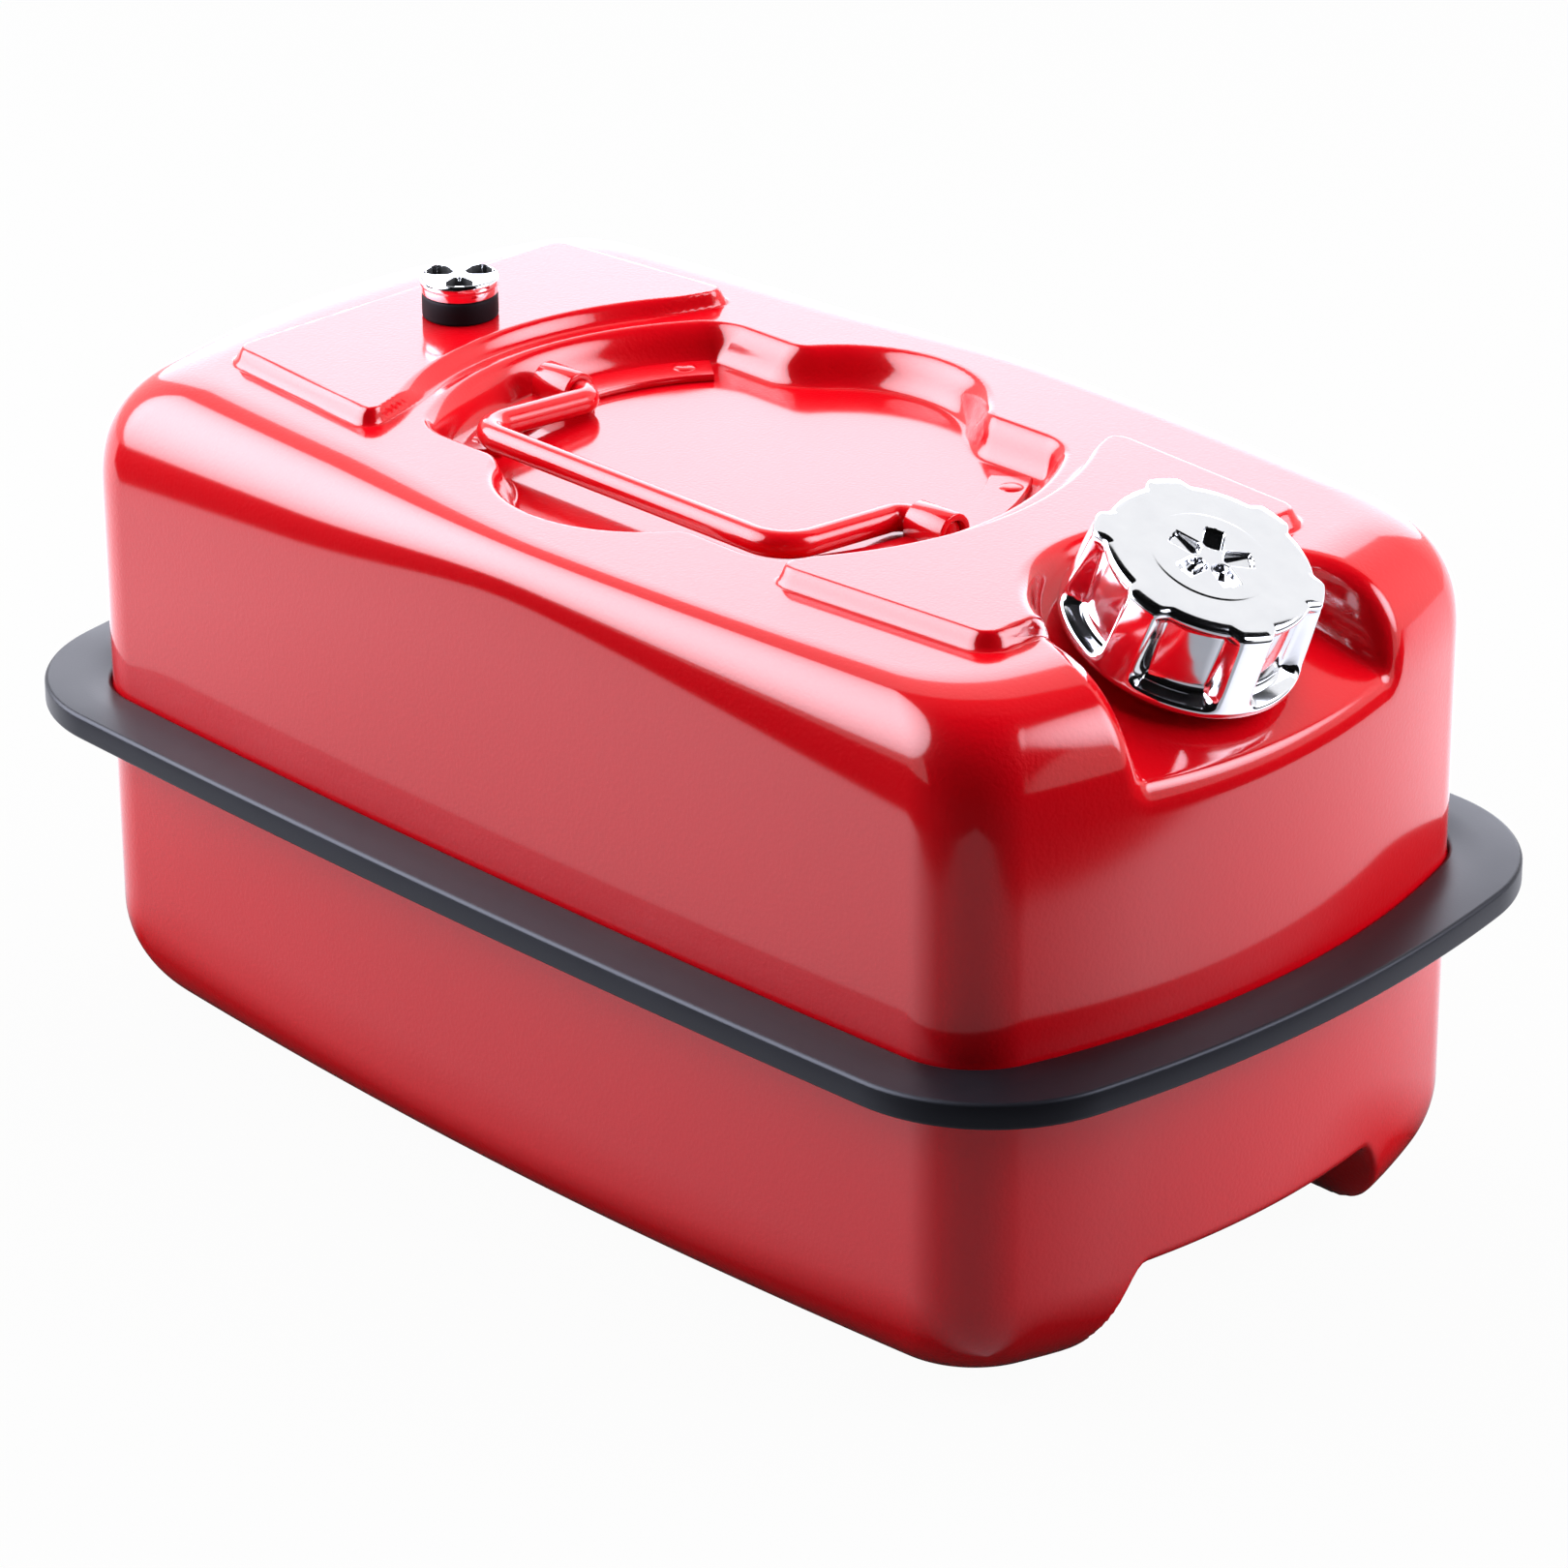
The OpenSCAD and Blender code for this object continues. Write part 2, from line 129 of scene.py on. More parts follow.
class Shader:
    """Node tree of one material or of the world."""

    def __init__(self, owner: bpy.types.ID) -> None:
        """Start with an empty tree.

        Args:
            owner: Material or world that holds the tree.
        """
        owner.use_nodes = True
        self.owner = owner
        self.tree = owner.node_tree
        self.tree.nodes.clear()

    def node(self, kind: str, settings: dict[str, Any] | None = None,
             inputs: dict[Any, Any] | None = None, out: Any = 0) -> Sock:
        """Add any node.

        Args:
            kind: Blender's name of the node type.
            settings: Properties that are set first.
            inputs: Values or sockets by input name or number.
            out: Name or number of the output that is returned.

        Returns:
            The chosen output.
        """
        made = self.tree.nodes.new(kind)
        for key, value in (settings or {}).items():
            setattr(made, key, value)
        for key, value in (inputs or {}).items():
            if isinstance(value, Sock):
                self.tree.links.new(value.socket, made.inputs[key])
            else:
                made.inputs[key].default_value = value
        return Sock(self, made.outputs[out]) if len(made.outputs) else Sock(self, made.inputs[0])

    def place(self) -> Sock:
        """Object coordinates."""
        return self.node("ShaderNodeTexCoord", out="Object")

    def noise(self, pattern: Pair, at: Sock) -> Sock:
        """Noise from 0 to 1 at a place, from its scale and detail."""
        return self.node("ShaderNodeTexNoise", {"noise_dimensions": "3D"},
                         {"Vector": at, "Scale": pattern[0], "Detail": pattern[1]})

    def stretch(self, scale: Sequence[float]) -> Sock:
        """Object coordinates scaled along each axis."""
        return self.node("ShaderNodeMapping", {}, {"Vector": self.place(), "Scale": tuple(scale)})

    def blend(self, share: Any, first: Any, second: Any) -> Sock:
        """Mix two colours, or sockets of colours, by a share."""
        ends = [end if isinstance(end, Sock) else (*end, 1.0) for end in (first, second)]
        inputs = {"Factor": share, 6: ends[0], 7: ends[1]}
        return self.node("ShaderNodeMix", {"data_type": "RGBA"}, inputs, out=2)

    def vector(self, operation: str, first: Any, second: Any = (0.0, 0.0, 0.0),
               out: Any = 0) -> Sock:
        """Work on vectors."""
        inputs = {0: first, 1: second}
        return self.node("ShaderNodeVectorMath", {"operation": operation}, inputs, out=out)

    def bump(self, height: Sock, depth: float, strength: float) -> Sock:
        """Normal from a height, with its depth in metres."""
        inputs = {"Height": height, "Distance": depth, "Strength": strength}
        return self.node("ShaderNodeBump", {}, inputs)

    def show(self, surface: Sock, kind: str = "Material") -> None:
        """Join a shader to the output of the material or the world."""
        self.node(f"ShaderNodeOutput{kind}", {}, {"Surface": surface})

    def surface(self, inputs: dict[str, Any]) -> None:
        """Join a Principled shader with these inputs to the output."""
        self.show(self.node("ShaderNodeBsdfPrincipled", {}, inputs))


# Finishes


@dataclass(frozen=True)
class Finish:
    """Finish of two tones in clouds, with a roughness that follows them and a fine bump.

    A noise is its scale and detail, and a roughness is its least value and its span.
    """

    name: str
    tones: tuple[Triple, Triple]
    cloud: Pair
    grain: Pair
    rough: Pair
    depth: float
    strength: float = 0.6
    patches: Pair | None = None
    stretch: Triple | None = None
    fixed: tuple[tuple[str, Any], ...] = ()

    def build(self) -> Material:
        """Make the material.

        Returns:
            The finish.
        """
        shader = Shader(bpy.data.materials.new(self.name))
        at = shader.stretch(self.stretch) if self.stretch else shader.place()
        cloud = shader.noise(self.cloud, at)
        hue = shader.noise(self.patches, at) if self.patches else cloud
        least, span = self.rough
        shader.surface({
            "Base Color": shader.blend(hue, *self.tones),
            "Roughness": least + span * cloud,
            "Normal": shader.bump(shader.noise(self.grain, at), self.depth, self.strength),
            **dict(self.fixed)})
        return shader.owner


@dataclass(frozen=True)
class GlossPaint(Finish):
    """Baked red enamel with a fine orange peel."""

    name: str = "red_enamel"
    tones: tuple[Triple, Triple] = ((0.46, 0.0006, 0.004), (0.50, 0.0010, 0.006))
    cloud: Pair = (70.0, 3.0)
    grain: Pair = (1000.0, 1.5)
    rough: Pair = (0.30, 0.05)
    depth: float = 0.000110
    strength: float = 1.0
    patches: Pair | None = (9.0, 2.0)
    fixed: tuple[tuple[str, Any], ...] = (
        ("IOR", 1.5), ("Specular IOR Level", 0.02),
        ("Coat Weight", 1.0), ("Coat Roughness", 0.10), ("Coat IOR", 1.5))


@dataclass(frozen=True)
class BandRubber(Finish):
    """Moulded black rubber with a dull grain."""

    name: str = "band_rubber"
    tones: tuple[Triple, Triple] = ((0.004, 0.004, 0.006), (0.008, 0.008, 0.012))
    cloud: Pair = (35.0, 4.0)
    grain: Pair = (1500.0, 2.0)
    rough: Pair = (0.32, 0.14)
    depth: float = 0.00002
    fixed: tuple[tuple[str, Any], ...] = (
        ("Specular IOR Level", 0.24), ("Specular Tint", (0.84, 0.87, 1.0, 1.0)))


@dataclass(frozen=True)
class SealRubber(BandRubber):
    """Duller rubber of the gasket and of the breather's ring."""

    name: str = "seal_rubber"
    tones: tuple[Triple, Triple] = ((0.004, 0.002, 0.003), (0.007, 0.004, 0.005))
    rough: Pair = (0.5, 0.14)
    fixed: tuple[tuple[str, Any], ...] = (
        ("Specular IOR Level", 0.1), ("Specular Tint", (0.84, 0.87, 1.0, 1.0)))


@dataclass(frozen=True)
class Plating(Finish):
    """Bright plated metal with slight waves in its surface."""

    name: str = "bright_plating"
    tones: tuple[Triple, Triple] = ((0.92, 0.93, 0.96), (0.82, 0.83, 0.87))
    cloud: Pair = (160.0, 3.0)
    grain: Pair = (210.0, 1.0)
    rough: Pair = (0.075, 0.05)
    depth: float = 0.00003
    fixed: tuple[tuple[str, Any], ...] = (("Metallic", 1.0),)


@dataclass(frozen=True)
class TurnedSteel(Finish):
    """Plated steel with lathe marks along its axis."""

    name: str = "turned_steel"
    tones: tuple[Triple, Triple] = ((0.56, 0.57, 0.58), (0.42, 0.42, 0.44))
    cloud: Pair = (1.0, 3.0)
    grain: Pair = (1.0, 3.0)
    rough: Pair = (0.22, 0.16)
    depth: float = 0.00003
    strength: float = 0.5
    stretch: Triple | None = (60.0, 60.0, 2600.0)
    fixed: tuple[tuple[str, Any], ...] = (("Metallic", 1.0),)


@dataclass(frozen=True)
class MouldedPlastic(Finish):
    """Matt black moulding, which also paints shade into the breather's slots."""

    name: str = "moulded_black"
    tones: tuple[Triple, Triple] = ((0.018, 0.018, 0.020), (0.035, 0.035, 0.038))
    cloud: Pair = (90.0, 3.0)
    grain: Pair = (1900.0, 1.0)
    rough: Pair = (0.40, 0.12)
    depth: float = 0.00003
    strength: float = 0.5


# Soft shapes on numbers


def soft_rise(t: Array, ease: float) -> Array:
    """Rise from 0 along t, with the corner at 0 eased over a band on each side."""
    eased = (t + ease) ** 2 / (4.0 * ease)
    return np.where(t <= -ease, 0.0, np.where(t >= ease, t, eased))


def soft_step(t: Array, run: float, ease: float) -> Array:
    """Step from 0 to 1 over a run, with both corners eased."""
    return (soft_rise(t, ease) - soft_rise(t - run, ease)) / run


def round_max(a: Array, b: Array, radius: float, lean: float = 0.0) -> Array:
    """Larger of two distances, with their edge rounded.

    Args:
        a: First distance.
        b: Second distance.
        radius: Radius of the edge.
        lean: Cosine of the angle between the two directions in which the distances grow.

    Returns:
        The distances.
    """
    p, q = a + radius, b + radius
    square = np.maximum(p * p + q * q - 2.0 * lean * p * q, 0.0) / (1.0 - lean * lean)
    corner = np.sqrt(square) - radius
    return np.where((p > lean * q) & (q > lean * p), corner, np.maximum(a, b))


def round_min(a: Array, b: Array, radius: float) -> Array:
    """Smaller of two distances, with their edge rounded."""
    return -round_max(-a, -b, radius)


def edge_drop(inset: Array, radius: float) -> Array:
    """Drop of a rounded edge at distances in from the wall."""
    short = np.maximum(radius - inset, 0.0)
    return radius - np.sqrt(np.maximum(radius ** 2 - short ** 2, 0.0))


# Mesh helpers


def only(items: Iterable[Any], kind: type) -> list[Any]:
    """Items of one type."""
    return [item for item in items if isinstance(item, kind)]


def extrude_loop(bm: Mesh, edges: list[bmesh.types.BMEdge]) -> tuple[list, list]:
    """Extrude a loop of edges in place.

    Args:
        bm: Mesh to grow.
        edges: Edges of the loop.

    Returns:
        The new loop's vertices and edges.
    """
    made = bmesh.ops.extrude_edge_only(bm, edges=edges)["geom"]
    verts = only(made, bmesh.types.BMVert)
    ends = set(verts)
    return verts, [edge for edge in only(made, bmesh.types.BMEdge) if ends.issuperset(edge.verts)]


def circle(radius: Any, turn: Array, height: Any) -> Array:
    """Points of a level or waving ring about Z."""
    level = np.broadcast_to(height, turn.shape)
    return np.column_stack([radius * np.cos(turn), radius * np.sin(turn), level])


def ring_stack(rings: Sequence[Array], close: bool = False, fill: bool = False) -> Mesh:
    """Skin a list of rings with equal counts, by extruding one circle.

    Args:
        rings: Points of each ring in millimetres.
        close: Whether the last ring joins the first.
        fill: Whether the first and last rings get a face.

    Returns:
        The mesh, in metres.
    """
    bm = bmesh.new()
    place = bm.verts.layers.int.new("place")
    count = len(rings[0])
    made = bmesh.ops.create_circle(bm, segments=count, radius=1.0)
    verts = made["verts"]
    for number, vert in enumerate(verts):
        vert[place] = number
        vert.co = Vector(rings[0][number]) * MM
    first = edges = list(bm.edges)
    for ring in rings[1:]:
        verts, edges = extrude_loop(bm, edges)
        for vert in verts:
            vert.co = Vector(ring[vert[place]]) * MM
    if close:
        bmesh.ops.bridge_loops(bm, edges=first + edges)
    if fill:
        bmesh.ops.holes_fill(bm, edges=first + edges, sides=count)
    bmesh.ops.recalc_face_normals(bm, faces=bm.faces)
    return bm


def turned(profile: Sequence[Pair], segments: int, close: bool = True) -> Mesh:
    """Spin a profile of radius and height about Z.

    Args:
        profile: Points in millimetres.
        segments: Steps of the full turn.
        close: Whether the last point joins the first.

    Returns:
        The mesh, in metres.
    """
    bm = bmesh.new()
    verts = [bm.verts.new((r * MM, 0.0, z * MM)) for r, z in profile]
    ends = verts[1:] + verts[:1] if close else verts[1:]
    edges = [bm.edges.new(pair) for pair in zip(verts, ends)]
    bmesh.ops.spin(bm, geom=verts + edges, cent=(0, 0, 0), axis=(0, 0, 1), angle=FULL_TURN,
                   steps=segments, use_merge=True)
    bmesh.ops.remove_doubles(bm, verts=bm.verts, dist=1e-7)
    bmesh.ops.recalc_face_normals(bm, faces=bm.faces)
    return bm


def join(target: Mesh, source: Mesh) -> None:
    """Add one mesh to another and free it."""
    held = bpy.data.meshes.new("held")
    source.to_mesh(held)
    source.free()
    target.from_mesh(held)
    bpy.data.meshes.remove(held)


def finish_piece(name: str, bm: Mesh, body: Body,
                 material: Material, nodes: Sequence[str] = (),
                 sharp: float = 40.0) -> Piece:
    """Turn a mesh into a smooth-shaded piece that rides on a body.

    Args:
        name: Name of the piece.
        bm: Its mesh, which is freed.
        body: Body that carries it.
        material: Finish of the piece.
        nodes: CAD nodes that it stands for.
        sharp: Angle in degrees past which an edge stays sharp.

    Returns:
        The piece's object.
    """
    mesh = bpy.data.meshes.new(name)
    bm.to_mesh(mesh)
    bm.free()
    mesh.shade_smooth()
    mesh.set_sharp_from_angle(angle=math.radians(sharp))
    bend = mesh.attributes.get(BEND)
    if bend is not None:
        normals = np.zeros(3 * len(mesh.vertices), dtype=np.float32)
        bend.data.foreach_get("vector", normals)
        mesh.attributes.remove(bend)
        mesh.normals_split_custom_set_from_vertices(normals.reshape(-1, 3))
    mesh.materials.append(material)
    piece = bpy.data.objects.new(name, mesh)
    bpy.context.scene.collection.objects.link(piece)
    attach(piece, body.value)
    if nodes:
        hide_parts(*nodes)
    mesh.calc_loop_triangles()
    LOG.info("%s: %d triangles on %s", name, len(mesh.loop_triangles), body.value)
    return piece


# Plan of the can


@dataclass(frozen=True)
class Cuts:
    """Steps along a quarter of an outline."""

    ends: int
    corners: int
    sides: int

    @property
    def rows(self) -> int:
        """Cells of a grid across the can."""
        return 2 * self.ends + self.corners

    @property
    def columns(self) -> int:
        """Cells of a grid along the can."""
        return 2 * self.sides + self.corners

    @property
    def around(self) -> int:
        """Points of the whole outline."""
        return 4 * (self.ends + self.corners + self.sides)


@dataclass(frozen=True)
class Outline:
    """Bowed and rounded rectangle in plan, in millimetres."""

    half_length: float
    half_width: float
    corner: float
    end_bow: float
    side_bow: float

    @staticmethod
    def _bow(half: float, rise: float) -> float:
        """Radius of a bow from its half chord and its rise."""
        return (half * half + rise * rise) / (2.0 * rise)

    @staticmethod
    def _arc(centre: Pair, radius: float, start: float, end: float, steps: int,
             skip: int) -> Array:
        """Points of an arc, with the first left out when skip is 1."""
        turn = np.linspace(start, end, steps + 1)[skip:]
        x, y = centre[0] + radius * np.cos(turn), centre[1] + radius * np.sin(turn)
        return np.stack([x, y], axis=1)

    def points(self, cuts: Cuts, grow: float = 0.0) -> Array:
        """Points of the outline, counter-clockwise from the middle of the +X end.

        Args:
            cuts: Steps along each quarter.
            grow: How far the outline is moved outward.

        Returns:
            One row per point.
        """
        end_r = self._bow(self.half_width, self.end_bow)
        side_r = self._bow(self.half_length, self.side_bow)
        ex, sy = self.half_length - end_r, self.half_width - side_r
        r1, r2 = end_r - self.corner, side_r - self.corner
        span = math.hypot(ex, sy)
        ux, uy = -ex / span, sy / span
        along = (r1 * r1 - r2 * r2 + span * span) / (2.0 * span)
        across = math.sqrt(r1 * r1 - along * along)
        cx, cy = ex + ux * along - uy * across, uy * along + ux * across
        t1 = math.atan2(cy, cx - ex)
        t2 = math.atan2(cy - sy, cx)
        quarter = np.concatenate([
            self._arc((ex, 0.0), end_r + grow, 0.0, t1, cuts.ends, 0),
            self._arc((cx, cy), self.corner + grow, t1, t2, cuts.corners, 1),
            self._arc((0.0, sy), side_r + grow, t2, math.pi / 2.0, cuts.sides, 1)])
        left = quarter[-2::-1] * (-1.0, 1.0)
        back = quarter[1:] * (-1.0, -1.0)
        right = quarter[-2:0:-1] * (1.0, -1.0)
        return np.concatenate([quarter, left, back, right])


@dataclass(frozen=True)
class CanPlan:
    """Outlines and heights that the shells and the band share, in millimetres."""

    seam: Outline = Outline(175.0, 93.8, 24.0, 19.5, 4.4)
    flat: Outline = Outline(144.3, 81.8, 25.0, 12.09, 10.4)
    foot: Outline = Outline(151.5, 74.3, 23.0, 15.6, 7.4)
    band: Outline = Outline(191.2, 110.0, 44.2, 16.185, 4.4)
    top: float = 178.5
    seam_z: float = 88.5
    sheet: float = 1.0
    flange: float = 8.6
    band_top: float = 92.0
    band_height: float = 7.0


@dataclass
class PressedSkin:
    """Sheet that starts as a grid and is extruded from its edge, ring by ring."""

    cuts: Cuts
    fillet_steps: int = 24
    fine: int = 16
    ease: float = 0.0
    wall_shares: tuple[float, ...] = (0.02, 0.06, 0.5, 0.97)
    roll: tuple[Pair, ...] = ((0.0, 2.0), (0.15, 1.2), (0.6, 0.5), (1.3, 0.1), (2.2, 0.0))

    def lattice(self, skirt: int) -> tuple[Mesh, Array]:
        """Make the flat grid and its skirt of rings.

        Args:
            skirt: Rings around the grid.

        Returns:
            The mesh and, for each vertex, its ring with its column and row or its place on it.
        """
        cols, rows = self.cuts.columns, self.cuts.rows
        bm = bmesh.new()
        ring_of = bm.verts.layers.int.new(RING)
        first = bm.verts.layers.int.new("first")
        second = bm.verts.layers.int.new("second")
        bmesh.ops.create_grid(bm, x_segments=cols, y_segments=rows, size=1.0)
        for vert in bm.verts:
            vert[first] = round((vert.co.x + 1.0) * 0.5 * cols)
            vert[second] = round((vert.co.y + 1.0) * 0.5 * rows)
        edges = [edge for edge in bm.edges if edge.is_boundary]
        for number in range(1, skirt + 1):
            verts, edges = extrude_loop(bm, edges)
            for vert in verts:
                if number == 1:
                    vert[first] = self._around(vert[first], vert[second])
                vert[ring_of] = number
        table = np.array([(v[ring_of], v[first], v[second]) for v in bm.verts])
        return bm, table

    def _around(self, col: int, row: int) -> int:
        """Place on the outline of a vertex on the grid's edge."""
        cols, rows = self.cuts.columns, self.cuts.rows
        if col == cols:
            return (row - rows // 2) % self.cuts.around
        if row == rows:
            return rows // 2 + cols - col
        if col == 0:
            return rows // 2 + cols + rows - row
        return rows // 2 + cols + rows + col

    def patch(self, line: Array) -> Array:
        """Spread a grid inside an outline.

        Args:
            line: Points of the outline.

        Returns:
            Points by column and row.
        """
        cols, rows = self.cuts.columns, self.cuts.rows
        col, row = np.arange(cols + 1), np.arange(rows + 1)
        right = line[(row - rows // 2) % len(line)]
        left = line[(rows // 2 + cols + rows - row) % len(line)]
        far = line[(rows // 2 + cols - col) % len(line)]
        near = line[(rows // 2 + cols + rows + col) % len(line)]
        s = (col / cols)[:, None, None]
        t = (row / rows)[None, :, None]
        sides = (1 - s) * left[None] + s * right[None] + (1 - t) * near[:, None] + t * far[:, None]
        low = (1 - s) * left[0] + s * right[0]
        high = (1 - s) * left[-1] + s * right[-1]
        return sides - (1 - t) * low - t * high

    def form(self, plan: CanPlan, grid: Array, fillet: Array, way: int
             ) -> tuple[Mesh, Array]:
        """Lay the sheet over its points, along its wall and out on the seam flange.

        Args:
            plan: Sizes that the shells share.
            grid: Points of the grid by column and row, in millimetres.
            fillet: Points of the fillet by ring and place, in millimetres.
            way: 1 for the upper shell, -1 for the lower one.

        Returns:
            The mesh, in metres, and the table of its lattice.
        """
        wall, edge = plan.seam.points(self.cuts), fillet[-1, :, 2]
        foot = plan.seam_z + way * plan.sheet
        fall = foot + way * self.roll[0][1] - edge
        rings = list(fillet)
        rings += [np.column_stack([wall, edge + fall * share]) for share in self.wall_shares]
        for grow, lift in (*self.roll, (plan.flange, 0.0), (plan.flange, -plan.sheet)):
            height = np.full(self.cuts.around, foot + way * lift)
            rings.append(np.column_stack([plan.seam.points(self.cuts, grow), height]))
        bm, table = self.lattice(len(rings))
        for vert, (ring, first, second) in zip(bm.verts, table):
            vert.co = Vector(grid[first, second] if ring == 0 else rings[ring - 1][first]) * MM
        return bm, table

    def fillet(self, wall: Array, flat: Array) -> tuple[Array, ...]:
        """Rings that roll from the flat outline to the wall.

        Args:
            wall: Points of the wall outline.
            flat: Points of the flat outline.

        Returns:
            Plan points by ring, their drop from the flat, the upright share of their normals and
            their distance from the wall.
        """
        fine = self.fine
        step = np.linspace(0.0, 1.0, fine * self.fillet_steps + 1)
        tilt = (step + self.ease * (step * step * (3.0 - 2.0 * step) - step)) * math.pi / 2.0
        ways = []
        for pace in (np.cos(tilt), np.sin(tilt)):
            way = np.concatenate([[0.0], np.cumsum(pace[1:] + pace[:-1])])
            ways.append((way / way[-1])[fine::fine, None])
        across, down = ways
        reach = np.linalg.norm(wall - flat, axis=1)[None]
        plan = flat[None] + (wall - flat)[None] * across[..., None]
        upright = np.cos(tilt[fine::fine, None]) + 0.0 * reach
        return plan, reach * down, upright, reach * (1.0 - across)


@dataclass(frozen=True)
class Panel:
    """Raised panel of the top, between two places along the can, in millimetres."""

    low: float
    low_half: float
    high: float
    high_half: float
    run: float


@dataclass
class UpperShell:
    """Upper pressing with its handle recess, raised panels and cap pocket."""

    plan: CanPlan
    skin: PressedSkin
    recess_x: float = -4.5
    recess_depth: float = 9.5
    recess_run: float = 4.4
    recess_ease: float = 2.0
    recess_radius: float = 80.0
    recess_half: float = 52.0
    recess_corner: float = 5.0
    lobe_radius: float = 38.0
    lobe_offset: float = 33.0
    lobe_corner: float = 4.0
    panel_height: float = 4.2
    panel_ease: float = 0.8
    panel_arc: float = 85.9
    panel_corner: float = 7.0
    panel_tip: float = 6.0
    panel_lean: float = -0.72
    panel_share: float = 0.8
    neck: Pair = (139.6, 166.1)
    tilt: float = math.radians(23.0)
    pocket_from: float = 80.0
    pocket_below: float = 100.0
    pocket_radius: float = 34.5
    pocket_spread: float = math.radians(14.0)
    pocket_slope: float = 0.3
    pocket_rim: float = 4.4
    pocket_foot: float = 2.4
    pocket_lip: float = 2.6
    neck_hole: float = 15.6
    least_upright: float = 0.15
    halvings: int = 40
    left_turn: float = 0.09
    turn_from: float = 15.0
    turn_run: float = 75.0
    panels: tuple[Panel, Panel] = (
        Panel(-136.4, 58.4, -71.0, 64.7, 2.1), Panel(62.0, 61.9, 133.4, 56.3, 2.4))
    normal_step: float = 0.4

    def recess_distance(self, x: Array, y: Array) -> Array:
        """Distance to the rim of the recess, below zero inside it."""
        across = np.abs(y)
        dish = np.hypot(x - self.recess_x, y) - self.recess_radius
        dish = round_max(dish, across - self.recess_half, self.recess_corner)
        lobe = np.hypot(x - self.recess_x, across - self.lobe_offset) - self.lobe_radius
        return round_min(dish, lobe, self.lobe_corner)

    def panel_distance(self, x: Array, y: Array, panel: Panel) -> Array:
        """Distance to the foot of a raised panel, below zero inside it.

        Args:
            x: Places along the can.
            y: Places across the can.
            panel: The panel.

        Returns:
            The distances.
        """
        lean = math.atan2(panel.high_half - panel.low_half, panel.high - panel.low)
        side = (np.abs(y) - panel.low_half) * math.cos(lean) - (x - panel.low) * math.sin(lean)
        ends = np.maximum(panel.low - x, x - panel.high)
        arc = self.panel_share * (self.panel_arc - np.hypot(x - self.recess_x, y))
        plain = round_max(side, ends, self.panel_corner)
        return round_max(plain, arc, self.panel_tip, self.panel_lean)

    def top_height(self, x: Array, y: Array) -> Array:
        """Height of the pressed top without the cap pocket."""
        inside = -self.recess_distance(x, y)
        sunk = soft_step(inside, self.recess_run, self.recess_ease)
        height = self.plan.top - self.recess_depth * sunk
        for panel in self.panels:
            inside = -self.panel_distance(x, y, panel)
            height = height + self.panel_height * soft_step(inside, panel.run, self.panel_ease)
        return height

    def pocket_distance(self, x: Array, y: Array, z: Array,
                        inset: Array) -> Array:
        """Distance to the skin of the cap pocket, below zero in its open space.

        Args:
            x: Places along the can.
            y: Places across the can.
            z: Heights.
            inset: Distances from the wall, which round the pocket's lip.

        Returns:
            The distances.
        """
        cos, sin = math.cos(self.tilt), math.sin(self.tilt)
        dx, dz = x - self.neck[0], z - self.neck[1]
        down = dx * cos - dz * sin
        above = dx * sin + dz * cos
        lip = edge_drop(inset, self.pocket_lip)
        across = np.abs(y)
        cos_s, sin_s = math.cos(self.pocket_spread), math.sin(self.pocket_spread)
        beside = across * cos_s - down * sin_s
        behind = np.hypot(down, y)
        foot = np.where(down * cos_s + across * sin_s >= 0.0, beside, behind) - self.pocket_radius
        lean = math.hypot(1.0, self.pocket_slope)
        wall = (foot - self.pocket_slope * above) / lean
        return round_max(-(above + lip * cos), wall, self.pocket_foot)

    def cut_pocket(self, x: Array, y: Array, base: Array, upright: Array,
                   inset: Array) -> Array:
        """Heights after the cap pocket is pressed in.

        Args:
            x: Places along the can.
            y: Places across the can.
            base: Heights before it.
            upright: Upright share of the normals before it.
            inset: Distances from the wall.

        Returns:
            The heights.
        """
        height = base.copy()
        near = x > self.pocket_from
        px, py, pb = x[near], y[near], base[near]
        pu, pi = np.maximum(upright[near], self.least_upright), inset[near]
        low, high = np.full_like(px, self.pocket_below), pb + 1.0
        for _ in range(self.halvings):
            middle = (low + high) / 2.0
            pocket = self.pocket_distance(px, py, middle, pi)
            solid = round_max((middle - pb) * pu, -pocket, self.pocket_rim)
            low, high = np.where(solid < 0.0, middle, low), np.where(solid < 0.0, high, middle)
        height[near] = (low + high) / 2.0
        return height

    def mesh(self) -> Mesh:
        """Press the shell.

        Returns:
            Its outer skin down to the flange, in metres.
        """
        cuts, plan = self.skin.cuts, self.plan
        flat, wall = plan.flat.points(cuts), plan.seam.points(cuts)
        share = np.clip((self.turn_from - flat[:, 0]) / self.turn_run, 0.0, 1.0)
        flat[:, 1] *= 1.0 - self.left_turn * share * share * (3.0 - 2.0 * share)
        grid = self.skin.patch(flat)
        gx, gy = grid[..., 0], grid[..., 1]
        turn, drop, upright, inset = self.skin.fillet(wall, flat)
        rz = self.cut_pocket(turn[..., 0], turn[..., 1], plan.top - drop, upright, inset)
        top = np.dstack([grid, self.pressed(gx, gy)])
        bm, table = self.skin.form(plan, top, np.dstack([turn, rz]), 1)
        bend = bm.verts.layers.float_vector.new(BEND)
        normals = self.grid_normals(gx, gy)
        for vert, (ring, first, second) in zip(bm.verts, table):
            if ring == 0:
                vert[bend] = Vector(normals[first, second])
        self.open_neck(bm)
        bm.faces.index_update()
        return bm

    def pressed(self, x: Array, y: Array) -> Array:
        """Height of the whole pressed top at points inside its flat outline."""
        return self.cut_pocket(x, y, self.top_height(x, y), np.ones_like(x), np.full_like(x, 99.0))

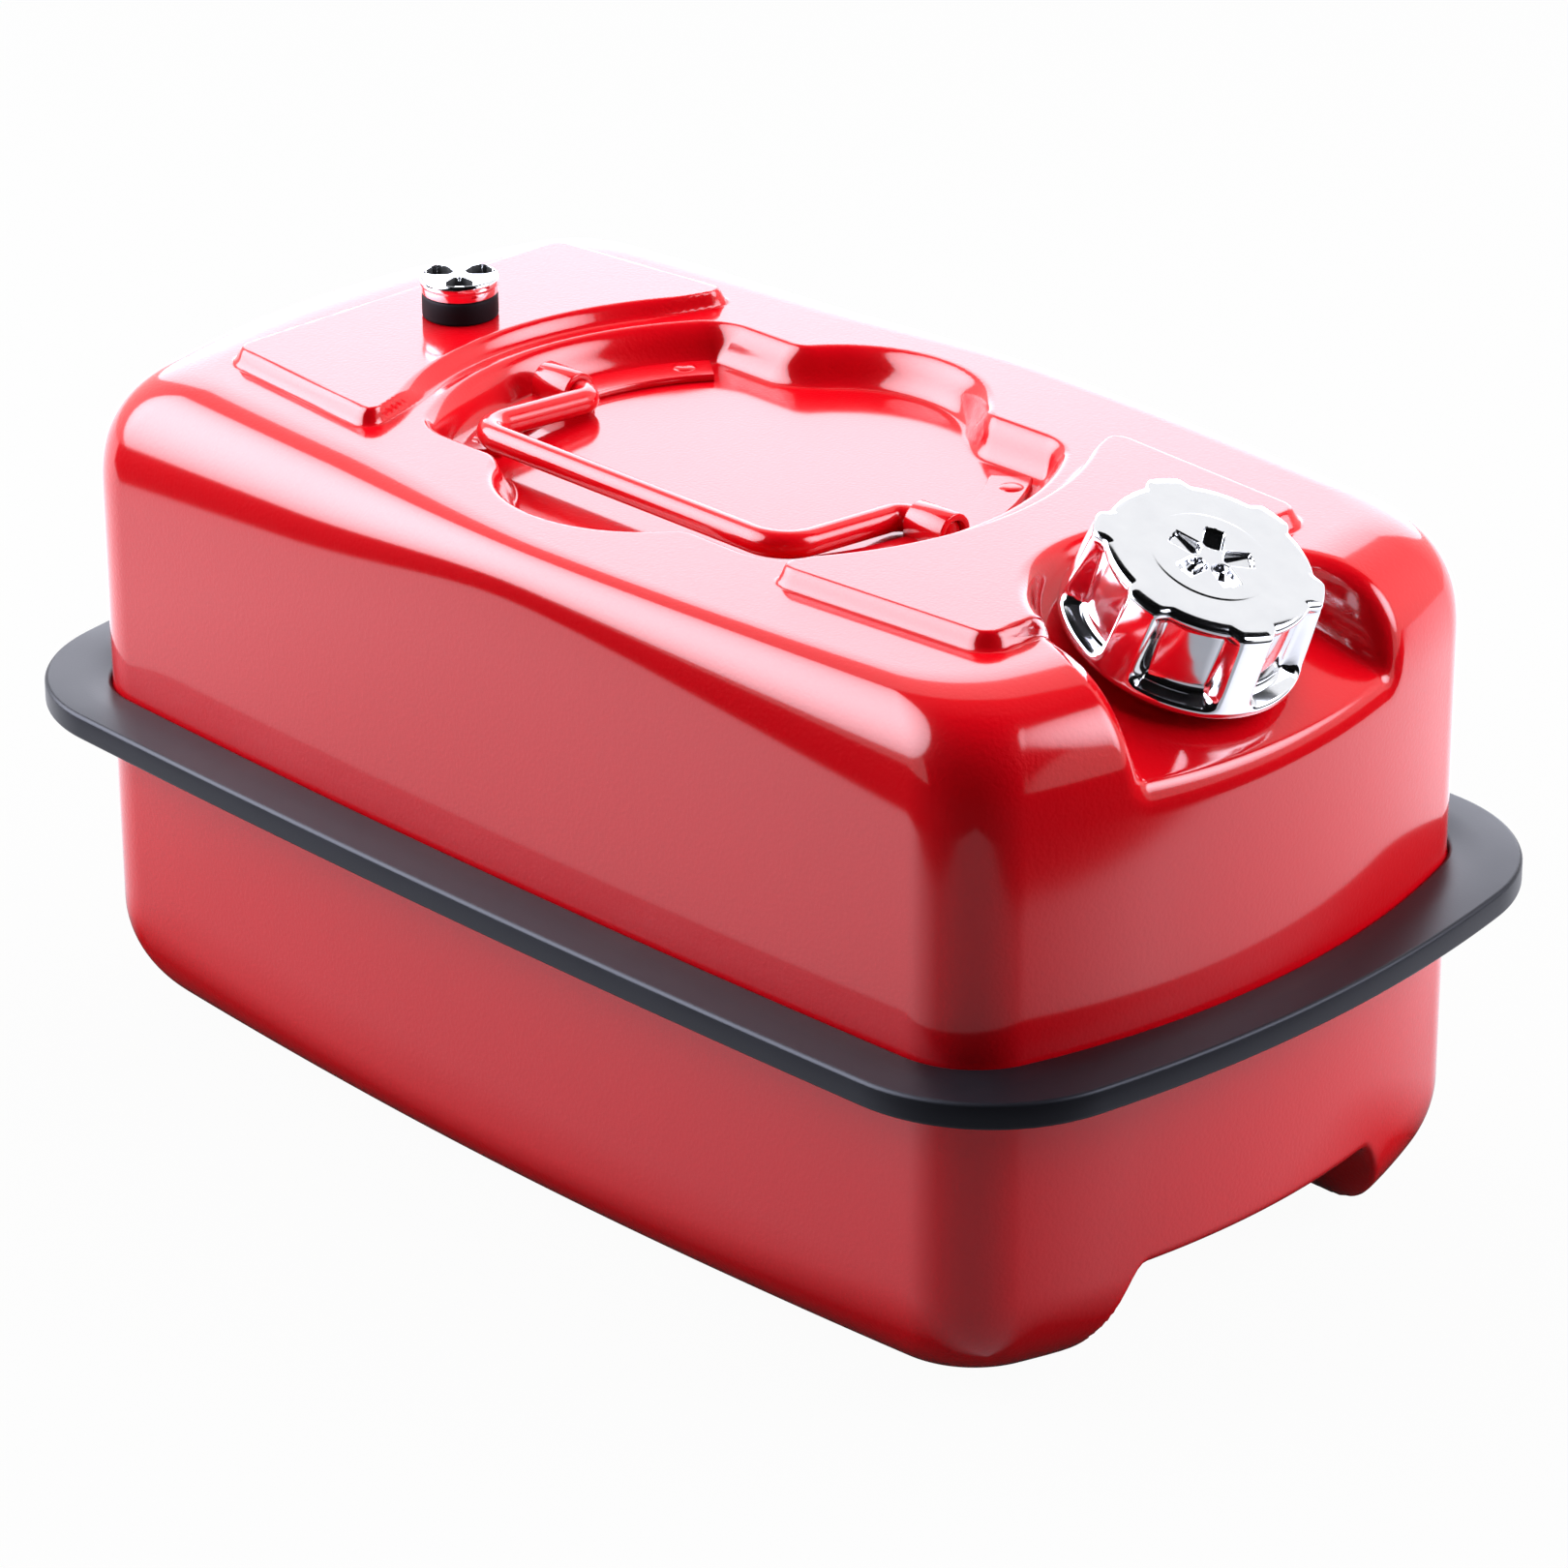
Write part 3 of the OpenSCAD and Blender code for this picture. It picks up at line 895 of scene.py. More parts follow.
    def grid_normals(self, x: Array, y: Array) -> Array:
        """Normals of the pressed top.

        Args:
            x: Places along the can.
            y: Places across the can.

        Returns:
            A unit vector for each point.
        """
        step = self.normal_step
        slope_x = (self.pressed(x + step, y) - self.pressed(x - step, y)) / (2.0 * step)
        slope_y = (self.pressed(x, y + step) - self.pressed(x, y - step)) / (2.0 * step)
        normals = np.dstack([-slope_x, -slope_y, np.ones_like(x)])
        return normals / np.linalg.norm(normals, axis=2, keepdims=True)

    def open_neck(self, bm: Mesh) -> None:
        """Take out the faces inside the filler neck's tube."""
        axis = Vector((math.sin(self.tilt), 0.0, math.cos(self.tilt)))
        root = Vector((self.neck[0], 0.0, self.neck[1])) * MM

        def inside(vert: bmesh.types.BMVert) -> bool:
            """Whether a vertex lies within the tube's wall."""
            off = vert.co - root
            return (off - axis * off.dot(axis)).length < self.neck_hole * MM

        faces = [face for face in bm.faces if all(inside(vert) for vert in face.verts)]
        bmesh.ops.delete(bm, geom=faces, context="FACES")

    def build(self, paint: Material) -> list[Piece]:
        """Make the shell as its wall and the two halves of its top, which meet without a step.

        Args:
            paint: Enamel of the can.

        Returns:
            The pieces.
        """
        whole = self.mesh()
        ring_of = whole.verts.layers.int[RING]
        kinds = {face.index: self._kind(face, ring_of) for face in whole.faces}
        pieces = []
        for kind in ("wall", *(f"top_{side.name.lower()}" for side in Side)):
            bm = whole.copy()
            bm.faces.ensure_lookup_table()
            others = [face for face in bm.faces if kinds[face.index] != kind]
            bmesh.ops.delete(bm, geom=others, context="FACES")
            nodes = ["upper_shell"] if kind == "wall" else []
            pieces.append(finish_piece(f"upper_{kind}", bm, Body.CAN, paint,
                                       nodes, 60.0))
        whole.free()
        return pieces

    def _kind(self, face: Face, ring_of: bmesh.types.BMLayerItem) -> str:
        """Piece that a face belongs to."""
        if any(vert[ring_of] for vert in face.verts):
            return "wall"
        side = Side.LEFT if face.calc_center_median().x < self.recess_x * MM else Side.RIGHT
        return f"top_{side.name.lower()}"


@dataclass
class LowerShell:
    """Lower pressing with two rails and the channel between them."""

    plan: CanPlan
    skin: PressedSkin
    roof: float = 27.5
    roof_half: float = 39.0
    flank: float = 19.0
    edge: float = 3.6
    edge_rise: float = 6.0
    blend: float = 5.0
    least_blend: float = 0.01

    def channel_height(self, y: Array) -> Array:
        """Height of the channel's skin over the floor."""
        share = np.clip((np.abs(y) - self.roof_half) / self.flank, 0.0, 1.0)
        return self.roof * (1.0 + np.cos(math.pi * share)) / 2.0

    def mesh(self) -> Mesh:
        """Press the shell.

        Returns:
            Its outer skin up to the flange, in metres.
        """
        cuts, plan = self.skin.cuts, self.plan
        flat, wall = plan.foot.points(cuts), plan.seam.points(cuts)
        grid = self.skin.patch(flat)
        turn, drop, upright, inset = self.skin.fillet(wall, flat)
        channel = self.channel_height(turn[..., 1])
        open_share = np.clip(channel / self.edge_rise, 0.0, 1.0)
        channel = channel + edge_drop(inset, self.edge) * open_share
        soft = self.blend * (1.0 - upright) + self.least_blend
        near = np.maximum(soft - np.abs(drop - channel), 0.0) / soft
        rz = np.maximum(drop, channel) + near * near * soft / 4.0
        floor = np.dstack([grid, self.channel_height(grid[..., 1])])
        bm, _ = self.skin.form(plan, floor, np.dstack([turn, rz]), -1)
        bmesh.ops.reverse_faces(bm, faces=bm.faces)
        return bm

    def build(self, paint: Material) -> Piece:
        """Make the piece in its finish."""
        return finish_piece("lower_pressing", self.mesh(), Body.CAN, paint,
                            ["lower_shell"], 60.0)


@dataclass
class RubberBand:
    """Rubber band that covers the seam flange all round."""

    plan: CanPlan
    cuts: Cuts = Cuts(40, 24, 60)
    clear: float = 0.3
    edge: float = 1.3

    def mesh(self) -> Mesh:
        """Extrude the band's section round the can.

        Returns:
            The band, in metres.
        """
        plan = self.plan
        inner = plan.seam.points(self.cuts, self.clear)
        outer = plan.band.points(self.cuts)
        reach = np.linalg.norm(outer - inner, axis=1)
        out = (outer - inner) / reach[:, None]
        low, high = plan.band_top - plan.band_height, plan.band_top
        section: list[Triple] = [
            (0.0, 0.0, low + 1.2), (0.0, 0.35, low + 0.4), (0.0, 1.2, low), (0.5, 0.0, low)]
        for turn in np.linspace(-90.0, 90.0, 13):
            side, lift = math.cos(math.radians(turn)), math.sin(math.radians(turn))
            middle = low + self.edge if turn <= 0 else high - self.edge
            section.append((1.0, -self.edge + self.edge * side, middle + self.edge * lift))
        section += [
            (0.5, 0.0, high), (0.0, 1.4, high), (0.0, 0.45, high - 0.4), (0.0, 0.0, high - 1.4)]
        rings = []
        for share, push, z in section:
            plan_points = inner + out * (reach * share + push)[:, None]
            rings.append(np.column_stack([plan_points, np.full(len(inner), z)]))
        return ring_stack(rings, close=True)

    def build(self, rubber: Material) -> Piece:
        """Make the piece in its finish."""
        return finish_piece("rubber_band", self.mesh(), Body.CAN, rubber,
                            ["bumper_band"], 50.0)


@dataclass
class BailHandle:
    """Bent wire handle that lies in the recess."""

    wire: float = 3.5
    legs: float = 55.0
    leg_length: float = 41.0
    bend: float = 9.5
    end_bend: float = 5.0
    end: float = 72.0
    tilt: float = math.radians(4.0)
    hinge: Triple = (-4.5, 0.0, 173.0)
    sides: int = 32
    bend_steps: int = 12
    bevel: float = 0.8

    def mesh(self) -> Mesh:
        """Extrude and spin a circle along the wire.

        Returns:
            The handle, in metres.
        """
        legs, reach, bend, hook = self.legs, self.leg_length, self.bend, self.end_bend
        tip = self.wire - self.bevel
        tail = (self.end - legs - hook - self.bevel, 0.0, 0.0)
        bm = bmesh.new()
        made = bmesh.ops.create_circle(bm, segments=self.sides, radius=tip * MM,
                                       matrix=Matrix.Rotation(math.pi / 2.0, 4, "Y"))
        bmesh.ops.translate(bm, verts=made["verts"], vec=(-self.end * MM, 0.0, 0.0))
        first = edges = list(bm.edges)
        edges = self._grow(bm, edges, (self.bevel, 0.0, 0.0), self.wire / tip)
        edges = self._grow(bm, edges, tail)
        edges = self._turn(bm, edges, (-legs - hook, -hook), -1)
        edges = self._grow(bm, edges, (0.0, bend + hook - reach, 0.0))
        edges = self._turn(bm, edges, (bend - legs, bend - reach), 1)
        edges = self._grow(bm, edges, (2.0 * (legs - bend), 0.0, 0.0))
        edges = self._turn(bm, edges, (legs - bend, bend - reach), 1)
        edges = self._grow(bm, edges, (0.0, reach - bend - hook, 0.0))
        edges = self._turn(bm, edges, (legs + hook, -hook), -1)
        edges = self._grow(bm, edges, tail)
        edges = self._grow(bm, edges, (self.bevel, 0.0, 0.0), tip / self.wire)
        bmesh.ops.holes_fill(bm, edges=first + edges, sides=self.sides)
        bmesh.ops.recalc_face_normals(bm, faces=bm.faces)
        place = Matrix.Translation(Vector(self.hinge) * MM) @ Matrix.Rotation(-self.tilt, 4, "X")
        bmesh.ops.transform(bm, matrix=place, verts=bm.verts)
        return bm

    @staticmethod
    def _grow(bm: Mesh, edges: list, step: Sequence[float], scale: float = 1.0) -> list:
        """Extrude the wire's end straight on.

        Args:
            bm: Mesh of the wire.
            edges: Edges of its end.
            step: Move in millimetres.
            scale: Growth of the end.

        Returns:
            Edges of the new end.
        """
        verts, edges = extrude_loop(bm, edges)
        centre = sum((vert.co for vert in verts), Vector()) / len(verts)
        there = Matrix.Translation(Vector(step) * MM + centre)
        move = there @ Matrix.Scale(scale, 4) @ Matrix.Translation(-centre)
        bmesh.ops.transform(bm, matrix=move, verts=verts)
        return edges

    def _turn(self, bm: Mesh, edges: list, centre: Pair, way: int) -> list:
        """Spin the wire's end through a quarter turn.

        Args:
            bm: Mesh of the wire.
            edges: Edges of its end.
            centre: Centre of the bend in millimetres.
            way: 1 to the left, -1 to the right.

        Returns:
            Edges of the new end.
        """
        made = bmesh.ops.spin(bm, geom=edges, cent=(centre[0] * MM, centre[1] * MM, 0.0),
                              axis=(0, 0, 1), angle=way * math.pi / 2.0, steps=self.bend_steps)
        return only(made["geom_last"], bmesh.types.BMEdge)

    def build(self, paint: Material) -> Piece:
        """Make the piece in its finish."""
        return finish_piece("bail_wire", self.mesh(), Body.HANDLE, paint,
                            ["bail_handle"], 50.0)


@dataclass
class Bracket:
    """Strap that is welded to the recess floor, with a saddle over the wire's end."""

    side: Side
    centre_x: float = -4.5
    floor: float = 169.0
    hinge: float = 173.0
    bore: float = 3.75
    outer: float = 5.35
    saddle: Pair = (60.4, 73.0)
    saddle_edge: float = 0.35
    strap: Pair = (61.5, 72.5)
    strap_edge: float = 0.5
    strap_angle: float = 37.0
    strap_gap: float = 4.3
    sheet: float = 2.0
    weld_angle: float = 31.0
    weld_place: float = 68.3
    weld_radius: float = 3.2

    def plate(self) -> Mesh:
        """Spin the two halves of the strap, with eased edges.

        Returns:
            The strap, in metres.
        """
        whole = bmesh.new()
        low, high = self.strap
        ease, sheet = self.strap_edge, self.sheet
        section = [(low + ease, 0.0), (high - ease, 0.0), (high, ease), (high, sheet - ease),
                   (high - ease, sheet), (low + ease, sheet), (low, sheet - ease), (low, ease)]
        for way in (-1, 1):
            bm = bmesh.new()
            verts = [bm.verts.new((r * MM, 0.0, (self.floor + z) * MM)) for r, z in section]
            face = bm.faces.new(verts)
            start = Matrix.Rotation(math.radians(way * self.strap_gap), 4, "Z")
            bmesh.ops.transform(bm, matrix=start, verts=verts)
            bmesh.ops.spin(bm, geom=[face], cent=(0, 0, 0), axis=(0, 0, 1),
                           angle=math.radians(way * (self.strap_angle - self.strap_gap)), steps=24)
            bmesh.ops.recalc_face_normals(bm, faces=bm.faces)
            join(whole, bm)
        return whole

    def hump(self) -> Mesh:
        """Bend a sheet over the wire and extrude it along the hinge.

        Returns:
            The saddle, in metres.
        """
        bm = bmesh.new()
        middle = (self.bore + self.outer) / 2.0
        start, end = self.saddle
        verts = [bm.verts.new((start * MM, y * MM, z * MM)) for y, z in
                 ((-middle, self.floor), (-middle, self.hinge))]
        bm.edges.new(verts)
        made = bmesh.ops.spin(bm, geom=[verts[1]], cent=(0, 0, self.hinge * MM), axis=(-1, 0, 0),
                              angle=math.pi, steps=20)
        last = only(made["geom_last"], bmesh.types.BMVert)
        foot = bmesh.ops.extrude_vert_indiv(bm, verts=last)["verts"]
        bmesh.ops.translate(bm, verts=foot, vec=(0, 0, (self.floor - self.hinge) * MM))
        moved, _ = extrude_loop(bm, list(bm.edges))
        bmesh.ops.translate(bm, verts=moved, vec=((end - start) * MM, 0, 0))
        bmesh.ops.recalc_face_normals(bm, faces=bm.faces)
        wall = self.outer - self.bore
        bmesh.ops.solidify(bm, geom=list(bm.faces), thickness=wall * MM)
        bmesh.ops.recalc_face_normals(bm, faces=bm.faces)
        return self._centre_wall(bm)

    def _centre_wall(self, bm: Mesh) -> Mesh:
        """Scale the saddle's section so that its wall lies between bore and outer radius."""
        reach = max(abs(vert.co.y) for vert in bm.verts)
        scale = self.outer * MM / reach
        for vert in bm.verts:
            vert.co.y *= scale
            if vert.co.z > self.hinge * MM:
                vert.co.z = self.hinge * MM + (vert.co.z - self.hinge * MM) * scale
        sharp = [edge for edge in bm.edges if edge.is_manifold and edge.calc_face_angle() > 1.0]
        bmesh.ops.bevel(bm, geom=sharp, offset=self.saddle_edge * MM, segments=2, profile=0.5,
                        affect="EDGES", material=-1)
        return bm

    def weld(self, way: int) -> Mesh:
        """Turn one domed weld spot.

        Args:
            way: End of the strap, -1 or 1.

        Returns:
            The spot, in metres.
        """
        top = self.floor + self.sheet
        dome = [(0.0, 0.55), (1.0, 0.6), (2.1, 0.5), (2.8, 0.25),
                (self.weld_radius, -0.05), (self.weld_radius, -0.4), (0.0, -0.4)]
        bm = turned([(radius, top + lift) for radius, lift in dome], 32, close=False)
        turn = math.radians(way * self.weld_angle)
        place = Vector((math.cos(turn), math.sin(turn), 0.0)) * self.weld_place * MM
        bmesh.ops.translate(bm, verts=bm.verts, vec=place)
        return bm

    def build(self, paint: Material) -> Piece:
        """Make the piece.

        Args:
            paint: Enamel of the can.

        Returns:
            The bracket.
        """
        bm = self.plate()
        join(bm, self.hump())
        for way in (-1, 1):
            join(bm, self.weld(way))
        if self.side is Side.LEFT:
            bmesh.ops.rotate(bm, verts=bm.verts, cent=(0, 0, 0),
                             matrix=Matrix.Rotation(math.pi, 3, "Z"))
        bmesh.ops.translate(bm, verts=bm.verts, vec=(self.centre_x * MM, 0, 0))
        name = self.side.name.lower()
        return finish_piece(f"strap_{name}", bm, Body.CAN, paint,
                            [f"bracket_{name}"], 45.0)


@dataclass(frozen=True)
class Star:
    """Slots in a round face, whose floors fall toward the middle."""

    first: float
    inner: float
    outer: float
    half: float
    depth: float
    shallow: float
    count: int = 5
    wall: float = 0.25
    taper: float = 0.60
    corner: float = 0.7

    def sink(self, x: Array, y: Array) -> Array:
        """Depth of the face at points on it.

        Args:
            x: First coordinate on the face.
            y: Second coordinate on the face.

        Returns:
            The depths in millimetres.
        """
        deepest = np.zeros_like(x)
        for number in range(self.count):
            turn = math.radians(self.first + number * 360.0 / self.count)
            along = x * math.cos(turn) + y * math.sin(turn)
            across = np.abs(y * math.cos(turn) - x * math.sin(turn))
            half = np.minimum(self.half, self.taper * along)
            ends = np.maximum(self.inner - along, along - self.outer)
            gap = round_max(ends, across - half, self.corner)
            share = np.clip((along - self.inner) / (self.outer - self.inner), 0.0, 1.0)
            floor = self.depth * (1.0 - (1.0 - self.shallow) * share)
            deepest = np.maximum(deepest, floor * soft_step(-gap, self.wall, 0.4 * self.wall))
        return deepest


def face_rings(radii: Iterable[float], turn: Array,
               height: Callable[[Array, Array], Array]) -> list[Array]:
    """Rings of a round face whose height varies over it.

    Args:
        radii: Radius of each ring.
        turn: Angles of the points.
        height: Height at points of the face.

    Returns:
        One array of points for each ring.
    """
    cos, sin = np.cos(turn), np.sin(turn)
    return [circle(radius, turn, height(radius * cos, radius * sin)) for radius in radii]


@dataclass
class FillerCap:
    """Plated screw cap with grip ribs between a flange and a top plate."""

    neck: Triple = (139.6, 0.0, 166.1)
    tilt: float = math.radians(23.0)
    phase: float = 39.0
    ribs: int = 6
    rib_half: float = 8.2
    rib_run: float = 5.0
    rib_ease: float = 1.3
    segments: int = 540
    top: float = 27.9
    boss: float = 0.12
    boss_radius: float = 15.2
    boss_run: float = 0.6
    boss_ease: float = 0.3
    star: Star = Star(129.0, 3.0, 10.4, 2.6, 2.4, 0.35)
    window: tuple[Pair, ...] = (
        (20.5, 21.2), (20.5, 4.4), (20.9, 4.0), (29.3, 4.0), (29.8, 4.2), (30.0, 4.7), (29.95, 6.0),
        (29.7, 6.5), (29.2, 6.75), (26.4, 7.2), (25.3, 7.6), (24.75, 8.3), (24.6, 9.5),
        (24.6, 16.0), (24.6, 23.6), (24.65, 24.6), (24.9, 25.0), (25.3, 25.1), (25.65, 25.4),
        (25.8, 26.0), (25.78, 26.6), (25.5, 27.2), (24.9, 27.55), (23.4, 27.75))
    rib: tuple[Pair, ...] = (
        (20.5, 21.2), (20.5, 4.4), (20.9, 4.0), (29.3, 4.0), (29.8, 4.2), (30.0, 4.7), (29.97, 6.0),
        (29.85, 6.8), (29.72, 7.6), (29.55, 9.2), (29.42, 10.8), (29.3, 12.4), (29.2, 14.0),
        (28.9, 18.0), (28.48, 23.8), (28.42, 24.6), (28.38, 25.0), (28.34, 25.3), (28.32, 25.6),
        (28.3, 26.1), (28.22, 26.7), (27.85, 27.25), (27.1, 27.55), (25.0, 27.75))
    face_radii: tuple[float, ...] = (
        21.4, 20.0, 18.4, 17.0, 16.0, 15.5, 15.2, 14.9, 14.6, 14.3, 13.8, 13.0, 12.2, 11.6,
        *np.arange(11.2, 2.0, -0.3), 1.7, 1.1, 0.5)

    def rib_share(self, turn: Array) -> Array:
        """Share of a rib at each angle: 1 on it, 0 between two."""
        step = 360.0 / self.ribs
        off = np.abs((np.degrees(turn) - self.phase + step / 2.0) % step - step / 2.0)
        return 1.0 - soft_step(off - self.rib_half, self.rib_run, self.rib_ease)

    def face(self, x: Array, y: Array) -> Array:
        """Height of the top plate, with a low boss and the star."""
        radius = np.hypot(x, y)
        boss = self.boss * soft_step(self.boss_radius - radius, self.boss_run, self.boss_ease)
        return self.top - self.boss + boss - self.star.sink(x, y)

    def mesh(self) -> Mesh:
        """Stack the cap's rings and tilt it onto the neck.

        Returns:
            The cap, in metres.
        """
        turn = np.linspace(0.0, FULL_TURN, self.segments, endpoint=False)
        share = self.rib_share(turn)
        rings = []
        for (wr, wz), (rr, rz) in zip(self.window, self.rib):
            rings.append(circle(wr + (rr - wr) * share, turn, wz + (rz - wz) * share))
        rings += face_rings(self.face_radii, turn, self.face)
        bm = ring_stack(rings, fill=True)
        place = Matrix.Translation(Vector(self.neck) * MM) @ Matrix.Rotation(self.tilt, 4, "Y")
        bmesh.ops.transform(bm, matrix=place, verts=bm.verts)
        return bm

    def build(self, chrome: Material) -> Piece:
        """Make the piece in its finish."""
        return finish_piece("ribbed_cap", self.mesh(), Body.CAP, chrome,
                            ["cap_shell"], 50.0)


@dataclass
class Breather:
    """Breather screw: a plated knob on a rubber ring."""

    x: float = -110.3
    ring_bottom: float = 183.1
    knob_bottom: float = 188.9
    knob_top: float = 193.7
    radius: float = 10.3
    ring_radius: float = 10.0
    stem: float = 4.05
    segments: int = 300
    star: Star = Star(-42.0, 2.4, 9.1, 3.4, 3.4, 0.95, 3, 0.12)
    # Share of the star's depth below which, and reach past the slots' ends within which, slot faces
    # take black as painted shade.
    painted_shade_share: float = 0.35
    painted_shade_over: float = 0.2
    face_radii: tuple[float, ...] = (*np.arange(9.2, 1.6, -0.25), 1.4, 0.9, 0.4)

    def face(self, x: Array, y: Array) -> Array:
        """Height of the knob's face with its star."""
        return self.knob_top - self.star.sink(x, y)

    def knob_mesh(self) -> Mesh:
        """Stack the knob's rings.

        Returns:
            The knob, in metres.
        """
        turn = np.linspace(0.0, FULL_TURN, self.segments, endpoint=False)
        low, high, r = self.knob_bottom, self.knob_top, self.radius
        outline = [
            (r - 0.9, low), (r - 0.55, low + 0.06), (r - 0.4, low + 0.3), (r - 0.35, low + 2.0),
            (r - 0.32, low + 2.3), (r - 0.05, low + 2.55), (r, low + 2.9), (r, high - 0.9),
            (r - 0.12, high - 0.45), (r - 0.4, high - 0.12), (r - 0.8, high)]
        rings = [circle(radius, turn, z) for radius, z in outline]
        rings += face_rings(self.face_radii, turn, self.face)
        bm = ring_stack(rings, fill=True)
        bmesh.ops.translate(bm, verts=bm.verts, vec=(self.x * MM, 0, 0))
        return bm

    def ring_mesh(self) -> Mesh:
        """Turn the rubber ring with eased edges.

        Returns:
            The ring, in metres.
        """
        low, high, r = self.ring_bottom, self.knob_bottom, self.ring_radius
        bm = turned([
            (self.stem, low), (9.15, low), (9.25, low - 0.3), (r - 0.35, low - 0.33),
            (r - 0.08, low - 0.1), (r, low + 0.4), (r, low + 2.9), (r - 0.02, high - 0.7),
            (r - 0.25, high - 0.2), (r - 0.8, high), (self.stem, high)], 128)
        bmesh.ops.translate(bm, verts=bm.verts, vec=(self.x * MM, 0, 0))
        return bm

    def in_slot(self, face: Face) -> bool:
        """Whether a face of the knob is on the floor or the wall of a slot, deep enough to take the
        black of painted shade.
        """
        level = (self.knob_top - self.painted_shade_share * self.star.depth) * MM
        reach = (self.star.outer + self.painted_shade_over) * MM
        inside = all(math.hypot(v.co.x - self.x * MM, v.co.y) < reach for v in face.verts)
        return inside and any(v.co.z < level for v in face.verts)

    def build(self, chrome: Material, rubber: Material,
              plastic: Material) -> list[Piece]:
        """Make the pieces.

        Args:
            chrome: Plating of the knob.
            rubber: Finish of the ring.
            plastic: Black finish laid on the slots' deep floors and walls as painted shade.

        Returns:
            The knob, its black slot faces of painted shade and the ring.
        """
        bm = self.knob_mesh()
        # The deep faces of the slots are split off and given black: painted shade in the slots.
        painted_shade_faces = bm.copy()
        for part, wanted in ((bm, False), (painted_shade_faces, True)):
            others = [face for face in part.faces if self.in_slot(face) is not wanted]
            bmesh.ops.delete(part, geom=others, context="FACES")
        knob = finish_piece("breather_knob", bm, Body.VENT, chrome,
                            ["vent_knob"], 50.0)
        core = finish_piece("breather_painted_shade", painted_shade_faces, Body.VENT, plastic)
        ring = finish_piece("breather_ring", self.ring_mesh(), Body.VENT_SEAL,
                            rubber, ["vent_gasket"], 50.0)
        return [knob, core, ring]


# Studio


@dataclass
class Studio:
    """Pale floor, soft lamps, white surroundings and the camera.

    A lamp or a card is its name, its degrees from the camera and above the object, half its
    width and half its height in degrees seen from the object, and its brightness. A card also
    has the share of its brightness at its rim.
    """

    eye: Triple = (0.979324, -0.954576, 0.724606)
    azimuth: float = math.radians(45.464)
    elevation: float = math.radians(25.108)
    roll: float = math.radians(-0.244)
    lens: float = 135.6
    sensor: float = 36.0
    centre: Triple = (0.0, 0.0, 0.12)
    box_reach: float = 1.6
    card_tint: Triple = (0.96, 0.98, 1.09)
    cloth_reach: float = 2.4
    cloth_half: float = 2.9
    cloth_arc: float = 114.0
    cloth_tone: Triple = (0.003, 0.003, 0.003)
    world_fill: float = 0.10
    floor_half: float = 4.0
    floor_matt: Triple = (0.30, 0.30, 0.30)
    floor_seen: float = 0.96
    # Tones that the floor shows in reflections: a painted shadow at the object's foot, painted
    # shade near it and in front of it, and painted light farther out.
    floor_painted_shadow: Triple = (0.02, 0.02, 0.02)
    floor_near: Triple = (0.72, 0.73, 0.80)
    floor_far: Triple = (1.80, 1.83, 2.00)
    floor_painted_front_shade: Triple = (0.38, 0.39, 0.43)
    can_half: Triple = (0.175, 0.094, 0.0)
    far_gain: float = 4.0
    painted_shadow_gain: float = 25.0
    front_from: float = 0.22
    front_gain: float = 2.1
    near_corner: Triple = (0.155, -0.075, 0.0)
    table_line: tuple[Pair, ...] = ((-0.9, -0.375), (0.43, -0.375), (0.43, 0.70))
    table_edge: float = 0.155
    lamps: tuple[tuple[str, float, float, Pair, float], ...] = (
        ("left_lamp", -103.0, 24.0, (27.0, 20.0), 8.9),
        ("back_lamp", 176.0, 68.0, (30.0, 18.0), 5.6),
        ("right_lamp", 96.0, 24.0, (24.0, 18.0), 10.4))
    cards: tuple[tuple[str, float, float, Pair, float, float], ...] = (
        ("left_card", -94.0, 35.0, (38.0, 34.0), 14.0, 0.4),
        ("back_card", 174.0, 18.0, (30.0, 23.0), 4.5, 0.95),
        ("right_card", 80.0, 32.0, (19.0, 21.0), 12.0, 0.3))

    def camera(self) -> None:
        """Set the camera at the photograph's place."""
        data = bpy.data.cameras.new("camera")
        data.lens, data.sensor_width, data.sensor_fit = self.lens, self.sensor, "HORIZONTAL"
        data.clip_start, data.clip_end = 0.05, 50.0
        az, el = self.azimuth, self.elevation
        right = Vector((math.cos(az), math.sin(az), 0.0))
        back = Vector((math.sin(az) * math.cos(el), -math.cos(az) * math.cos(el), math.sin(el)))
        up = back.cross(right)
        turned_right = right * math.cos(self.roll) + up * math.sin(self.roll)
        turned_up = up * math.cos(self.roll) - right * math.sin(self.roll)
        rows = Matrix((turned_right, turned_up, back)).transposed().to_4x4()
        eye = bpy.data.objects.new("camera", data)
        eye.matrix_world = Matrix.Translation(self.eye) @ rows
        bpy.context.scene.collection.objects.link(eye)
        bpy.context.scene.camera = eye

    @staticmethod
    def seen(shader: Shader) -> Sock:
        """1 for rays that show the surroundings, 0 for rays that light the object."""
        camera, glossy, through = (
            shader.node("ShaderNodeLightPath", out=f"Is {kind} Ray")
            for kind in ("Camera", "Glossy", "Transmission"))
        return camera + glossy + through

    @staticmethod
    def staged(name: str, bm: Mesh, material: Material) -> Piece:
        """Add a stage object.

        Args:
            name: Its name.
            bm: Its mesh, which is freed.
            material: Its material.

        Returns:
            The object.
        """
        mesh = bpy.data.meshes.new(name)
        bm.to_mesh(mesh)
        bm.free()
        mesh.materials.append(material)
        piece = bpy.data.objects.new(name, mesh)
        bpy.context.scene.collection.objects.link(piece)
        return piece

    def reflected(self, name: str, bm: Mesh, material: Material) -> None:
        """Add a stage object that only shiny surfaces and glass show."""
        piece = self.staged(name, bm, material)
        piece.visible_camera = piece.visible_diffuse = piece.visible_shadow = False

